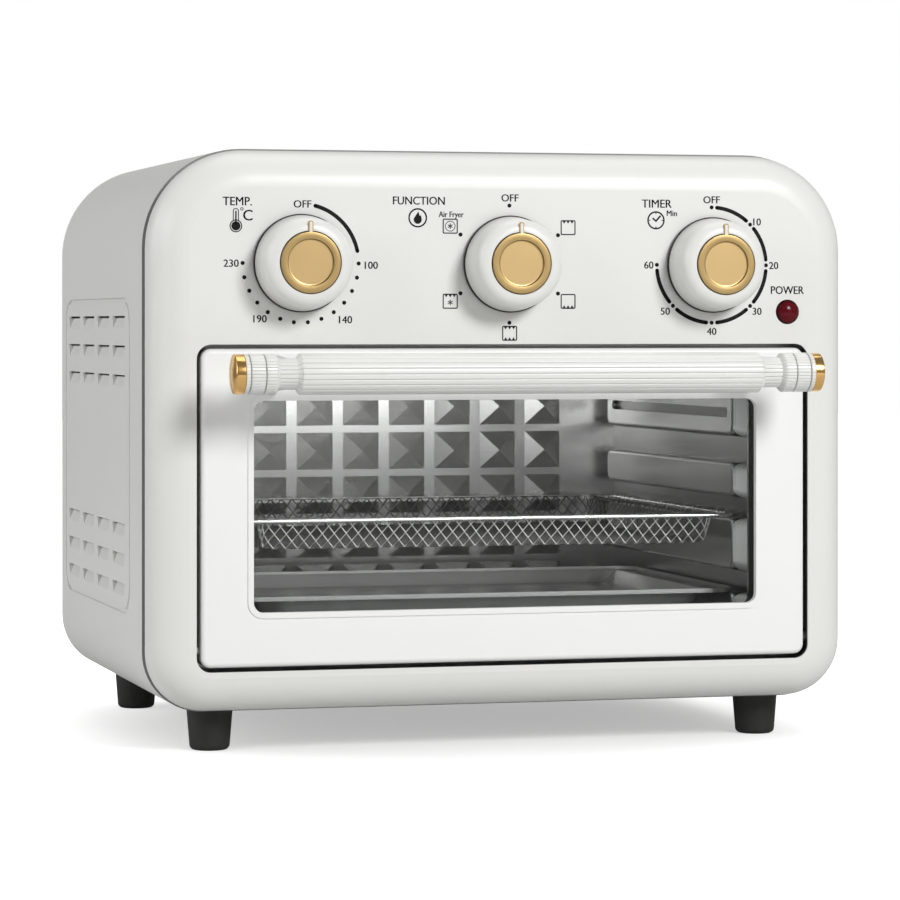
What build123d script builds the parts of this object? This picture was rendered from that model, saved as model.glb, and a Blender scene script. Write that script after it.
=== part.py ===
"""Countertop air fryer toaster oven with a drop-down glass door, a mesh basket and a baking tray.

Millimetres. X runs left to right, Y runs from the front to the back and Z runs up from the table.
Depths are written from the front panel's plane and moved into the part's own frame on saving:
its origin lies on the table, under the middle of the oven's overall box.
"""
import math
import os

from build123d import *

# Body
body_width = 351.0
body_height = 268.4
foot_height = 20.2
top_corner_radius = 47.2
bottom_corner_radius = 28.2
front_edge_round = 18.0
edge_land = 0.5
bezel_depth = 18.5
bezel_wall = 3.0
seam_width = 3.0
seam_depth = 2.0
case_step = 0.8
case_wall = 1.2
case_length = 240.5
tongue_reach = 6.0
rear_panel_thickness = 3.0
rear_edge_round = 2.5

# Clearances
fixed_gap = 0.3
running_gap = 0.06
screw_gap = 0.2

# Door opening and door
door_side_margin = 23.5
door_low_margin = 21.7
panel_height = 95.1
door_gap = 2.0
door_corner_radius = 5.0
door_skin = 2.5
door_depth = 16.0
door_edge_round = 2.5
liner_thickness = 1.2
liner_depth = 4.0
jamb_wall = 3.0
jamb_depth = 22.0
window_side_margin = 25.5
window_low_margin = 25.9
window_high_margin = 24.9
window_corner_radius = 5.0
bead_width = 2.7
bead_height = 0.7
glass_thickness = 4.0
glass_margin = 8.0
gasket_width = 6.0
hinge_depth = 7.0
hinge_rise = 8.3
hinge_pin_radius = 2.5
hinge_pin_length = 15.0
hinge_plate = 3.5
hinge_plate_margin = 0.8
hinge_plate_size = 13.0

# Handle
handle_stand_off = 39.0
handle_drop = 11.6
handle_radius = 9.75
handle_neck_radius = 7.5
handle_reeds = 22
reed_depth = 0.7
handle_bar_inset = 37.8
neck_length = 9.7
collar_length = 16.0
collar_radius = 9.5
collar_groove = 0.6
collar_ring = 7.2
collar_disc = 2.0
cap_length = 4.9
cap_radius = 9.35
cap_round = 0.6
post_height = 13.0
handle_screw_radius = 2.0

# Control panel
dial_side_margin = 72.0
dial_rise = 40.7
knob_radius = 22.9
knob_front_radius = 21.5
knob_round = 6.0
knob_stand_off = 1.2
knob_length = 20.2
disc_radius = 14.55
disc_recess_radius = 11.05
disc_thickness = 1.6
disc_recess = 0.8
disc_seat = 1.0
pointer_length = 5.1
pointer_width = 2.2
pointer_height = 0.4
shaft_radius = 3.0
shaft_length = 34.0
shaft_grip = 12.0
bushing_radius = 4.5
nut_radius = 6.5
nut_thickness = 2.6
panel_hole_radius = 7.4
bracket_depth = 8.0
bracket_thickness = 1.5
bracket_margin = 3.0
bracket_overhang = 8.9
switch_width = 36.0
switch_height = 34.0
switch_depth = 22.0
timer_depth = 30.0
lamp_offset = 39.6
lamp_drop = 23.0
lamp_radius = 6.1
lamp_dome = 2.6
lamp_stem_radius = 4.6

# Cooking chamber; the upper pads' limits are shares of the wall above the lowest pad
cavity_side_inset = 19.0
cavity_low_margin = 9.3
cavity_high_margin = 8.3
cavity_back_margin = 12.0
sheet = 0.8
frame_margin = 1.0
frame_thickness = 1.2
pad_reach = 8.0
pad_front_margin = 2.3
pad_back_margin = 10.0
pad_corner = 5.0
pad_round = 1.5
pad_front_slope = 5.5
pad_back_slope = 3.0
pad_low_slope = 1.5
lowest_pad_height = 19.0
pad_shares = [(0.092, 0.326), (0.412, 0.569), (0.678, 0.913)]
rail_groove_rise = 10.0
rail_groove_height = 5.0
rail_groove_depth = 2.5
rail_groove_margin = 12.0
boss_size = 20.2
boss_height = 4.5
boss_pitch_x = 26.0
boss_pitch_z = 24.1
boss_side_margin = 30.0
boss_first_rise = 12.0

# Heating and air
heater_radius = 3.25
heater_inset = 60.0
heater_drop = 5.0
heater_rise = 6.0
heater_tail = 16.0
insulator_radius = 4.6
insulator_flange = 7.0
insulator_length = 9.0
fan_radius = 52.0
fan_hub_radius = 10.0
fan_blades = 12
fan_height = 12.0
fan_gap = 2.0
fan_plate = 1.0
grille_rings = 4
grille_slot = 5.0
grille_bar = 6.0
housing_radius = 72.0
housing_height = 22.0
fan_shaft_radius = 3.0
motor_radius = 28.0
motor_height = 34.0

# Basket and tray
shelf_side_gap = 3.0
shelf_front_gap = 10.8
basket_back_gap = 8.0
basket_corner = 9.0
basket_wing = 11.5
rim_rod_radius = 1.2
rim_band = 1.2
rim_band_height = 2.4
tub_corner = 8.0
basket_drop = 14.4
basket_slope = 4.0
basket_sheet = 0.8
mesh_pitch_x = 12.4
mesh_pitch_y = 16.0
mesh_hole = 7.5
tray_back_gap = 41.0
tray_side_flange = 12.3
tray_front_lip = 1.6
tray_back_lip = 4.0
tray_corner = 14.0
tray_drop = 6.4
tray_slope = 5.0
tray_sheet = 0.8
tray_bead = 1.3

# Feet, fasteners and mains inlet
foot_top_radius = 11.25
foot_low_radius = 9.6
foot_round = 2.5
foot_side_margin = 35.5
foot_front_margin = 17.5
foot_rear_margin = 23.0
foot_recess_radius = 4.6
foot_recess_depth = 13.0
screw_radius = 2.0
screw_head_radius = 3.6
screw_head_height = 2.4
screw_length = 12.0
gland_radius = 8.0
gland_bore = 3.4
gland_reach = 5.0
gland_side_margin = 55.5
gland_rise = 39.0

# Side vents
vent_front_margin = 33.0
vent_back_margin = 12.0
vent_low_margin = 43.0
vent_high_margin = 70.4
vent_corner = 15.0
vent_groove_width = 2.5
vent_groove_depth = 1.5
louvre_width = 35.5
louvre_pitch = 44.9
louvre_margin = 13.9
louvre_height = 6.0
louvre_depth = 2.8
louvre_slit = 0.9
louvre_taper = 3.0
louvre_round = 2.0
louvres_from_top = [9.0, 23.6, 38.1]
louvres_from_bottom = [43.8, 29.0, 14.5]
rear_slot_count = 9
rear_slot_width = 5.0
rear_slot_height = 40.0
rear_slot_pitch = 14.0

# Places worked out from the sizes above: the body
body_low = foot_height + case_step
body_high = body_low + body_height
case_front = bezel_depth + seam_width
case_back = case_front + case_length
rear_face = case_back + rear_panel_thickness
case_side = body_width / 2 + case_step
front_reach = handle_stand_off + handle_radius
rear_reach = rear_face + gland_reach
front_plane = (front_reach - rear_reach) / 2
foot_side = body_width / 2 - foot_side_margin
gland_side = body_width / 2 - gland_side_margin
gland_height = body_low + gland_rise

# The door and its handle
door_width = body_width - 2 * door_side_margin
door_low = body_low + door_low_margin
door_high = body_high - panel_height
window_width = door_width - 2 * window_side_margin
window_low = door_low + window_low_margin
window_high = door_high - window_high_margin
hinge_height = door_low + hinge_rise
frame_back = jamb_depth + frame_thickness
glass_front = door_skin + fixed_gap
glass_back = glass_front + glass_thickness
liner_front = door_depth
handle_height = door_high - handle_drop
handle_bar_half = door_width / 2 - handle_bar_inset

# The controls and the lamp
dial_spacing = body_width / 2 - dial_side_margin
dial_height = door_high + dial_rise
dial_places = [-dial_spacing, 0.0, dial_spacing]
knob_back = -knob_stand_off
knob_front = knob_back - knob_length
bracket_back = bracket_depth + bracket_thickness
lamp_side = dial_spacing + lamp_offset
lamp_height = dial_height - lamp_drop

# The chamber and what is in it
cavity_half_width = door_width / 2 - cavity_side_inset
cavity_low = door_low + cavity_low_margin
cavity_high = door_high - cavity_high_margin
cavity_back = case_back - cavity_back_margin
pad_front = frame_back + pad_front_margin
pad_back = cavity_back - pad_back_margin
pad_base = cavity_low + lowest_pad_height
pad_rise = cavity_high - pad_base
pad_levels = [(cavity_low, pad_base)]
pad_levels += [(pad_base + low * pad_rise, pad_base + high * pad_rise) for low, high in pad_shares]
upper_heater_height = cavity_high - heater_drop
lower_heater_height = cavity_low + heater_rise
housing_floor = cavity_high + sheet
housing_top = housing_floor + housing_height
fan_middle = (frame_back + cavity_back) / 2
heater_places = [frame_back + heater_inset, cavity_back - heater_inset]
shelf_front = frame_back + shelf_front_gap
shelf_half_width = cavity_half_width - shelf_side_gap
basket_back = cavity_back - basket_back_gap
rim_height = pad_levels[1][1] + fixed_gap + rim_rod_radius
tray_back = cavity_back - tray_back_gap
tray_seat = pad_levels[0][1] + fixed_gap

# The side vents
vent_front = case_front + vent_front_margin
vent_back = case_back - vent_back_margin
vent_low = body_low + vent_low_margin
vent_high = body_high - vent_high_margin
louvre_first = vent_front + louvre_margin
louvre_span = vent_back - louvre_first - louvre_width
louvre_columns = 1 + int(louvre_span / louvre_pitch)
louvre_tops = [vent_high - drop for drop in louvres_from_top]
louvre_tops += [vent_low + rise for rise in louvres_from_bottom]


def block(x_range, y_range, z_range):
    """A box given by its limits along X, Y and Z."""
    size = [high - low for low, high in (x_range, y_range, z_range)]
    corner = Pos(x_range[0], y_range[0], z_range[0])
    return corner * Box(*size, align=(Align.MIN, Align.MIN, Align.MIN))


def along_y(face, start, end):
    """A face drawn in X and Z, drawn out from one depth to another."""
    return extrude(Plane((0, start, 0), x_dir=(1, 0, 0), z_dir=(0, -1, 0)) * face, start - end)


def along_x(face, start, end):
    """A face drawn in Y and Z, drawn out from one side to another."""
    return extrude(Plane((start, 0, 0), x_dir=(0, 1, 0), z_dir=(1, 0, 0)) * face, end - start)


def along_z(face, start, end):
    """A face drawn in X and Y, drawn out from one height to another."""
    return extrude(Plane((0, 0, start)) * face, end - start)


def rod_y(x, z, radius, start, end):
    """A round bar along Y."""
    return along_y(Pos(x, z) * Circle(radius), start, end)


def rod_x(y, z, radius, start, end):
    """A round bar along X."""
    return along_x(Pos(y, z) * Circle(radius), start, end)


def rod_z(x, y, radius, start, end):
    """A round bar along Z."""
    return along_z(Pos(x, y) * Circle(radius), start, end)


def panel(width, low, high, radius):
    """A rounded rectangle, centred across and placed by its lower and upper limits."""
    return Pos(0, (low + high) / 2) * RectangleRounded(width, high - low, radius)


def plan(half_width, front, back, radius):
    """A rounded rectangle seen from above."""
    return Pos(0, (front + back) / 2) * RectangleRounded(2 * half_width, back - front, radius)


def body_outline(inset):
    """The oven's front outline pulled in by inset, with large upper and smaller lower corners."""
    low = body_low + inset
    high = body_high - inset
    face = Pos(0, (low + high) / 2) * Rectangle(body_width - 2 * inset, high - low)
    face = fillet(face.vertices().group_by(Axis.Y)[-1], top_corner_radius - inset)
    return fillet(face.vertices().group_by(Axis.Y)[0], bottom_corner_radius - inset)


def rounded_front(inset, start):
    """The bezel's block from one depth to its back edge, with its front edge rounded."""
    solid = along_y(body_outline(inset), start, bezel_depth)
    radius = min(front_edge_round, bezel_depth - edge_land)
    return fillet(solid.edges().group_by(Axis.Y)[0], radius - inset)


def hexagon(radius):
    """A nut's six-sided outline, given across its corners."""
    return RegularPolygon(radius, 6)


def both_sides(solid):
    """A solid and its mirror image on the other side of the oven."""
    return [solid, mirror(solid, Plane.YZ)]


def front_bezel():
    """Moulded front: control panel, door surround and the tongue inside the case."""
    shell = rounded_front(0, 0) - rounded_front(bezel_wall, bezel_wall)
    tongue_face = body_outline(seam_depth) - body_outline(seam_depth + bezel_wall)
    shell += along_y(tongue_face, bezel_depth - bezel_wall, case_front + tongue_reach)
    low = door_low - door_gap
    high = door_high + door_gap
    width = door_width + 2 * door_gap
    radius = door_corner_radius + door_gap
    opening = panel(width, low, high, radius)
    jamb = panel(width + 2 * jamb_wall, low - jamb_wall, high + jamb_wall, radius + jamb_wall)
    shell += along_y(jamb, 0, jamb_depth)
    shell -= along_y(opening, 0, jamb_depth)
    for x in dial_places:
        shell -= rod_y(x, dial_height, panel_hole_radius, 0, bezel_wall)
    shell -= rod_y(lamp_side, lamp_height, lamp_stem_radius + fixed_gap, 0, bezel_wall)
    for x in (-dial_spacing / 2, dial_spacing / 2):
        shell += rod_y(x, dial_height, nut_radius, bezel_wall, bracket_depth)
    pin_hole = rod_x(hinge_depth, hinge_height, hinge_pin_radius + fixed_gap,
                     door_width / 2, door_width / 2 + door_gap + jamb_wall)
    return shell - both_sides(pin_hole)


def vent_ring(width, depth_range):
    """The stamped line round the side vents, as a band across one side of the case."""
    middle = Pos((vent_front + vent_back) / 2, (vent_low + vent_high) / 2)
    grow = width - vent_groove_width
    length = vent_back - vent_front + grow
    height = vent_high - vent_low + grow
    outer = middle * RectangleRounded(length, height, vent_corner + grow / 2)
    inner = middle * RectangleRounded(length - 2 * width, height - 2 * width,
                                      vent_corner + grow / 2 - width)
    return along_x(outer - inner, case_side - depth_range[1], case_side - depth_range[0])


def louvre_form(depth, top, margin):
    """A louvre's hollow, or its scoop when grown by a margin: flush below, deepest at its top."""
    low = -louvre_height - margin
    section = make_face(Polyline((0, low), (-depth, top), (0, top), close=True))
    half = louvre_width / 2 + margin
    foot = half - louvre_taper
    outline = make_face(Polyline((-half, 0), (-foot, low), (foot, low), (half, 0), close=True))
    outline = fillet(outline.vertices().group_by(Axis.Y)[0], louvre_round)
    return along_y(section, -half, half) & along_x(outline, -depth, 0)


def outer_case():
    """Steel wrapper: one sleeve with a folded front edge, stamped lines and louvres."""
    sleeve = body_outline(-case_step)
    inside = body_outline(case_wall - case_step)
    hem = inside - body_outline(seam_depth - fixed_gap)
    case = along_y(sleeve - inside, case_front, case_back)
    case += along_y(hem, case_front, case_front + case_wall)
    hollow = louvre_form(louvre_depth, 0, 0)
    scoop = louvre_form(louvre_depth + case_wall, -louvre_slit, case_wall)
    scoops = []
    hollows = []
    for column in range(louvre_columns):
        middle = louvre_first + column * louvre_pitch + louvre_width / 2
        for top in louvre_tops:
            place = Pos(case_side, middle, top)
            hollows += both_sides(place * hollow)
            scoops += both_sides(place * scoop)
    ridge = vent_ring(vent_groove_width + 2 * case_wall,
                      (case_wall / 2, vent_groove_depth + case_wall))
    groove = vent_ring(vent_groove_width, (0, vent_groove_depth))
    case += scoops + both_sides(ridge)
    case -= hollows + both_sides(groove)
    for x, y in foot_places():
        case -= rod_z(x, y, screw_radius + screw_gap, foot_height, foot_height + case_wall)
    return case


def foot_places():
    """Where the four feet stand."""
    rows = [case_front + foot_front_margin, case_back - foot_rear_margin]
    return [(x, y) for y in rows for x in (-foot_side, foot_side)]


def rear_screw_places():
    """Six screws round the rear panel's edge, in from the case by one top corner radius."""
    side = body_width / 2 - top_corner_radius / 2
    heights = [body_low + top_corner_radius, (body_low + body_high) / 2,
               body_high - top_corner_radius]
    return [(x, z) for z in heights for x in (-side, side)]


def rear_panel():
    """Pressed rear cover with air slots, screw holes and the mains inlet's hole."""
    plate = along_y(body_outline(-case_step), case_back, rear_face)
    plate = fillet(plate.edges().group_by(Axis.Y)[-1], rear_edge_round)
    middle = (rear_slot_count - 1) / 2
    slot_top = body_high - top_corner_radius
    for index in range(rear_slot_count):
        slot = Pos((index - middle) * rear_slot_pitch, slot_top - rear_slot_height / 2) \
            * SlotOverall(rear_slot_height, rear_slot_width, rotation=90)
        plate -= along_y(slot, case_back, rear_face)
    for x, z in rear_screw_places():
        plate -= rod_y(x, z, screw_radius + screw_gap, case_back, rear_face)
    return plate - rod_y(gland_side, gland_height, gland_radius, case_back, rear_face)


def rear_screws():
    """The rear panel's screws."""
    screws = []
    for x, z in rear_screw_places():
        head = rod_y(x, z, screw_head_radius, rear_face, rear_face + screw_head_height)
        head = fillet(head.edges().group_by(Axis.Y)[-1], screw_head_height / 2)
        screws.append(head + rod_y(x, z, screw_radius, rear_face - screw_length, rear_face))
    return screws


def cord_gland():
    """Strain relief in the rear panel, with the bore that a mains cord leaves through."""
    gland = rod_y(gland_side, gland_height, gland_radius - screw_gap, case_back, rear_reach)
    gland = fillet(gland.edges().group_by(Axis.Y)[-1], gland_reach / 3)
    gland += rod_y(gland_side, gland_height, gland_radius + bezel_wall,
                   case_back - bezel_wall, case_back)
    return gland - rod_y(gland_side, gland_height, gland_bore, case_back - bezel_wall, rear_reach)


def foot(x, y):
    """Rubber foot: a tapered stub with a screw recess in its sole."""
    stub = Pos(x, y, 0) * Cone(foot_low_radius, foot_top_radius, foot_height,
                               align=(Align.CENTER, Align.CENTER, Align.MIN))
    stub = fillet(stub.edges().group_by(Axis.Z)[0], foot_round)
    stub -= rod_z(x, y, foot_recess_radius, 0, foot_recess_depth)
    return stub - rod_z(x, y, screw_radius + screw_gap, foot_recess_depth, foot_height)


def foot_screws():
    """The screws that hold the feet on."""
    screws = []
    for x, y in foot_places():
        head = rod_z(x, y, screw_head_radius, foot_recess_depth - screw_head_height,
                     foot_recess_depth)
        shank = rod_z(x, y, screw_radius, foot_recess_depth, foot_recess_depth + screw_length)
        screws.append(head + shank)
    return screws


def cavity_front_frame():
    """Steel frame behind the bezel, round the chamber's mouth."""
    low = door_low - door_gap - jamb_wall - frame_margin
    high = door_high + door_gap + jamb_wall + frame_margin
    width = door_width + 2 * (door_gap + jamb_wall + frame_margin)
    outer = panel(width, low, high, door_corner_radius)
    mouth = panel(2 * cavity_half_width, cavity_low, cavity_high, door_corner_radius)
    return along_y(outer - mouth, jamb_depth, frame_back)


def shelf_pad(low, high, inner_face):
    """Raised pad with a flat top, whose ends and lower side slope out to the wall."""
    faces = []
    for x, share in ((inner_face, 1), (cavity_half_width, 0)):
        front = pad_front + share * pad_front_slope
        back = pad_back - share * pad_back_slope
        bottom = low + share * pad_low_slope
        outline = RectangleRounded(back - front, high - bottom, pad_corner)
        place = Pos((front + back) / 2, (bottom + high) / 2)
        faces.append(Plane((x, 0, 0), x_dir=(0, 1, 0), z_dir=(1, 0, 0)) * place * outline)
    pad = loft(faces)
    return fillet(pad.edges().group_by(Axis.X)[0], pad_round)


def cavity_side_wall(side):
    """Pressed side wall with four shelf pads, a rail groove and the heaters' holes."""
    wall = block((cavity_half_width, cavity_half_width + sheet), (frame_back, cavity_back),
                 (cavity_low, cavity_high))
    inner_face = cavity_half_width - pad_reach
    pad_length = pad_back - pad_front
    pad_middle = (pad_front + pad_back) / 2
    for low, high in pad_levels:
        wall += shelf_pad(low, high, inner_face)
    groove = Pos(pad_middle, pad_levels[-1][0] + rail_groove_rise + rail_groove_height / 2) \
        * SlotOverall(pad_length - 2 * rail_groove_margin, rail_groove_height)
    wall -= along_x(groove, inner_face, inner_face + rail_groove_depth)
    for y in heater_places:
        for z in (upper_heater_height, lower_heater_height):
            wall -= rod_x(y, z, insulator_radius, inner_face, cavity_half_width + sheet)
    return wall if side > 0 else mirror(wall, Plane.YZ)


def cavity_back_wall():
    """Rear wall of the chamber, embossed with rows of low pyramids."""
    width = cavity_half_width + sheet
    wall = block((-width, width), (cavity_back, cavity_back + sheet), (cavity_low, cavity_high))
    across = 2 * (cavity_half_width - boss_side_margin) - boss_size
    upward = cavity_high - cavity_low - boss_first_rise - boss_size / 2
    columns = 1 + int(across / boss_pitch_x)
    rows = 1 + int(upward / boss_pitch_z)
    bosses = []
    for column in range(columns):
        x = (column - (columns - 1) / 2) * boss_pitch_x
        for row in range(rows):
            z = cavity_low + boss_first_rise + row * boss_pitch_z
            base = Plane((x, cavity_back, z), x_dir=(1, 0, 0), z_dir=(0, -1, 0))
            tip = Vertex(x, cavity_back - boss_height, z)
            bosses.append(loft([base * Rectangle(boss_size, boss_size), tip]))
    return wall + bosses


def grille_slots():
    """Ring slots under the fan, each broken by four bars."""
    pitch = fan_radius / grille_rings
    slots = Sketch()
    for ring in range(grille_rings):
        outer = pitch * (ring + 1)
        slots += Circle(outer) - Circle(outer - grille_slot)
    long_side = 2 * (fan_radius + grille_bar)
    slots -= Rectangle(grille_bar, long_side)
    slots -= Rectangle(long_side, grille_bar)
    return Pos(0, fan_middle) * slots


def cavity_ceiling():
    """Top wall of the chamber with the fan's grille pressed in it."""
    width = cavity_half_width + sheet
    plate = block((-width, width), (frame_back, cavity_back + sheet),
                  (cavity_high, cavity_high + sheet))
    return plate - along_z(grille_slots(), cavity_high, cavity_high + sheet)


def cavity_floor():
    """Bottom wall of the chamber."""
    width = cavity_half_width + sheet
    return block((-width, width), (frame_back, cavity_back + sheet),
                 (cavity_low - sheet, cavity_low))


def heater(y, z):
    """Sheathed heating rod across the chamber, through both side walls."""
    reach = cavity_half_width + heater_tail
    return rod_x(y, z, heater_radius, -reach, reach)


def heater_insulators():
    """Ceramic bushes round the heaters' ends, flanged against the side walls."""
    outer_face = cavity_half_width + sheet
    bushes = []
    for y in heater_places:
        for z in (upper_heater_height, lower_heater_height):
            tube = rod_x(y, z, insulator_radius - screw_gap, cavity_half_width,
                         outer_face + insulator_length)
            flange = rod_x(y, z, insulator_flange, outer_face, outer_face + insulator_length / 3)
            bore = rod_x(y, z, heater_radius + running_gap, cavity_half_width,
                         outer_face + insulator_length)
            bushes += both_sides(tube + flange - bore)
    return bushes


def fan_housing():
    """Steel dome over the fan, standing on the chamber's ceiling."""
    dome = rod_z(0, fan_middle, housing_radius, housing_floor, housing_top)
    dome -= rod_z(0, fan_middle, housing_radius - sheet, housing_floor, housing_top - sheet)
    return dome - rod_z(0, fan_middle, fan_shaft_radius + running_gap, housing_floor, housing_top)


def fan_motor():
    """Motor standing on the dome, with a blind bore for the fan's shaft."""
    body = rod_z(0, fan_middle, motor_radius, housing_top, housing_top + motor_height)
    body = fillet(body.edges().group_by(Axis.Z)[-1], fan_gap)
    return body - rod_z(0, fan_middle, fan_shaft_radius + running_gap, housing_top,
                        housing_top + motor_height / 2)


def fan_impeller():
    """Fan wheel under the dome: a back plate, a hub and upright blades."""
    top = housing_top - sheet - fan_gap
    wheel = rod_z(0, fan_middle, fan_radius, top - fan_plate, top)
    wheel += rod_z(0, fan_middle, fan_hub_radius, top - fan_height, top)
    blade = block((fan_hub_radius / 2, fan_radius - fan_gap), (-fan_plate / 2, fan_plate / 2),
                  (top - fan_height, top))
    for index in range(fan_blades):
        wheel += Pos(0, fan_middle, 0) * Rot(0, 0, index * 360 / fan_blades) * blade
    return wheel - rod_z(0, fan_middle, fan_shaft_radius, top - fan_height, top)


def fan_shaft():
    """Shaft between the motor and the fan wheel."""
    wheel_bottom = housing_top - sheet - fan_gap - fan_height
    return rod_z(0, fan_middle, fan_shaft_radius, wheel_bottom,
                 housing_top + motor_height / 2 - fixed_gap)


def control_bracket():
    """Steel plate behind the panel that carries the three controls and the lamp."""
    low = lamp_height - lamp_radius - bracket_margin
    high = dial_height + switch_height / 2 + bracket_margin
    side = lamp_side + bracket_overhang
    plate = block((-side, side), (bracket_depth, bracket_back), (low, high))
    for x in dial_places:
        plate -= rod_y(x, dial_height, bushing_radius + fixed_gap, bracket_depth, bracket_back)
    stem_hole = lamp_stem_radius + fixed_gap
    return plate - rod_y(lamp_side, lamp_height, stem_hole, bracket_depth, bracket_back)


def control_unit(x, depth):
    """A rotary control behind the bracket, with a threaded bushing round its shaft."""
    body = block((x - switch_width / 2, x + switch_width / 2), (bracket_back, bracket_back + depth),
                 (dial_height - switch_height / 2, dial_height + switch_height / 2))
    body = fillet(body.edges().filter_by(Axis.Y), bezel_wall)
    body += rod_y(x, dial_height, bushing_radius, bezel_wall, bracket_back)
    shaft_end = shaft_tip() + fixed_gap
    return body - rod_y(x, dial_height, shaft_radius + running_gap, bezel_wall, shaft_end)


def shaft_tip():
    """How far behind the front plane a knob's shaft reaches."""
    return knob_back - shaft_grip + shaft_length


def shaft_nuts():
    """The nuts that clamp the controls to their bracket."""
    nuts = []
    for x in dial_places:
        face = hexagon(nut_radius) - Circle(bushing_radius + running_gap)
        nuts.append(along_y(Pos(x, dial_height) * face, bracket_depth - nut_thickness,
                            bracket_depth))
    return nuts


def knob(x):
    """Knob body: a slightly tapered disc with a rounded front edge."""
    profile = [(0, knob_back), (knob_radius, knob_back), (knob_front_radius, knob_front),
               (0, knob_front)]
    face = make_face(Polyline(profile, close=True))
    edge = face.vertices().filter_by(lambda v: v.X > 1 and abs(v.Y - knob_front) < 1)
    face = fillet(edge, knob_round)
    body = revolve(Plane.XY * face, Axis.Y)
    body = Pos(x, 0, dial_height) * body
    body -= rod_y(x, dial_height, disc_radius + running_gap, knob_front, knob_front + disc_seat)
    return body - rod_y(x, dial_height, shaft_radius + running_gap, knob_back - shaft_grip,
                        knob_back)


def knob_disc(x):
    """Metal disc on the knob's face: raised ring, sunk middle and a pointer on the ring."""
    back = knob_front + disc_seat
    front = back - disc_thickness
    disc = rod_y(x, dial_height, disc_radius, front, back)
    disc -= rod_y(x, dial_height, disc_recess_radius, front, front + disc_recess)
    low = dial_height + disc_radius
    pointer = block((x - pointer_width / 2, x + pointer_width / 2),
                    (front, front + pointer_height),
                    (low - pointer_width, low + pointer_length))
    return disc + pointer


def knob_shaft(x):
    """Steel spindle from the control into the knob."""
    return rod_y(x, dial_height, shaft_radius, knob_back - shaft_grip, shaft_tip())


def power_lamp_lens():
    """Domed signal lens with a stem through the panel."""
    sphere_radius = (lamp_radius ** 2 + lamp_dome ** 2) / (2 * lamp_dome)
    ball = Pos(lamp_side, sphere_radius - lamp_dome, lamp_height) * Sphere(sphere_radius)
    dome = ball & rod_y(lamp_side, lamp_height, 2 * lamp_radius, -lamp_dome, 0)
    return dome + rod_y(lamp_side, lamp_height, lamp_stem_radius, 0, bracket_depth)


def power_lamp_body():
    """The lamp's holder behind the lens, through the control bracket."""
    return rod_y(lamp_side, lamp_height, lamp_stem_radius, bracket_depth,
                 bracket_back + bracket_depth)


def hinge_bracket(side):
    """Plate beside the door opening with the hinge pin's bore."""
    inner = door_width / 2 + door_gap + jamb_wall
    half = hinge_plate_size / 2
    front = hinge_depth - hinge_pin_radius - hinge_plate_margin
    plate = block((inner, inner + hinge_plate), (front, jamb_depth),
                  (hinge_height - half, hinge_height + half))
    plate -= rod_x(hinge_depth, hinge_height, hinge_pin_radius + running_gap, inner,
                   inner + hinge_plate)
    return plate if side > 0 else mirror(plate, Plane.YZ)


def hinge_pins():
    """The two pins on the door's lower corners."""
    inner = door_width / 2 - door_skin - hinge_pin_length / 3
    pin = rod_x(hinge_depth, hinge_height, hinge_pin_radius, inner, inner + hinge_pin_length)
    return both_sides(pin)


def door_frame():
    """Door's outer shell: a shallow tray with the window's opening and a raised bead round it."""
    outline = panel(door_width, door_low, door_high, door_corner_radius)
    hollow = panel(door_width - 2 * door_skin, door_low + door_skin, door_high - door_skin,
                   door_corner_radius - door_skin)
    shell = along_y(outline, 0, door_depth)
    shell = fillet(shell.edges().group_by(Axis.Y)[0], door_edge_round)
    shell -= along_y(hollow, door_skin + fixed_gap, door_depth)
    window = panel(window_width, window_low, window_high, window_corner_radius)
    bead = panel(window_width + 2 * bead_width, window_low - bead_width,
                 window_high + bead_width, window_corner_radius + bead_width)
    shell += along_y(bead, -bead_height, door_skin + fixed_gap)
    shell -= along_y(window, -bead_height, door_skin + fixed_gap)
    for x in post_places():
        shell -= rod_y(x, handle_height, handle_screw_radius + screw_gap, 0,
                       door_skin + fixed_gap)
    pin_hole = rod_x(hinge_depth, hinge_height, hinge_pin_radius,
                     door_width / 2 - 2 * door_corner_radius, door_width / 2)
    return shell - both_sides(pin_hole)


def door_glass():
    """Tempered glass pane behind the window."""
    low = window_low - glass_margin
    high = window_high + glass_margin
    pane = panel(window_width + 2 * glass_margin, low, high, window_corner_radius)
    return along_y(pane, glass_front, glass_back)


def glass_gasket():
    """Seal between the pane and the door's liner."""
    low = window_low - glass_margin
    high = window_high + glass_margin
    outer = panel(window_width + 2 * glass_margin, low, high, window_corner_radius)
    inner = panel(window_width + 2 * (glass_margin - gasket_width), low + gasket_width,
                  high - gasket_width, window_corner_radius)
    return along_y(outer - inner, glass_back, liner_front)


def door_liner():
    """Door's inner panel: a plate with a raised step that faces the chamber's mouth."""
    outline = panel(door_width - fixed_gap, door_low + fixed_gap, door_high - fixed_gap,
                    door_corner_radius)
    low = window_low - bead_width
    high = window_high + bead_width
    window = panel(window_width + 2 * bead_width, low, high, window_corner_radius)
    step = panel(2 * cavity_half_width - 2 * door_gap, cavity_low + door_corner_radius,
                 cavity_high - door_gap, door_corner_radius)
    plate = along_y(outline - window, liner_front, liner_front + liner_thickness)
    return plate + along_y(step - window, liner_front, liner_front + liner_depth)


def post_places():
    """The two posts stand behind the handle's necks."""
    middle = handle_bar_half + neck_length / 2
    return [-middle, middle]


def reeded(radius):
    """A round section ringed with rounded reeds."""
    core = radius - reed_depth
    reed = math.pi * core / handle_reeds
    section = Circle(core)
    for place in PolarLocations(core, handle_reeds):
        section += place * Circle(min(reed, reed_depth * 1.4))
    return section & Circle(radius)


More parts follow.
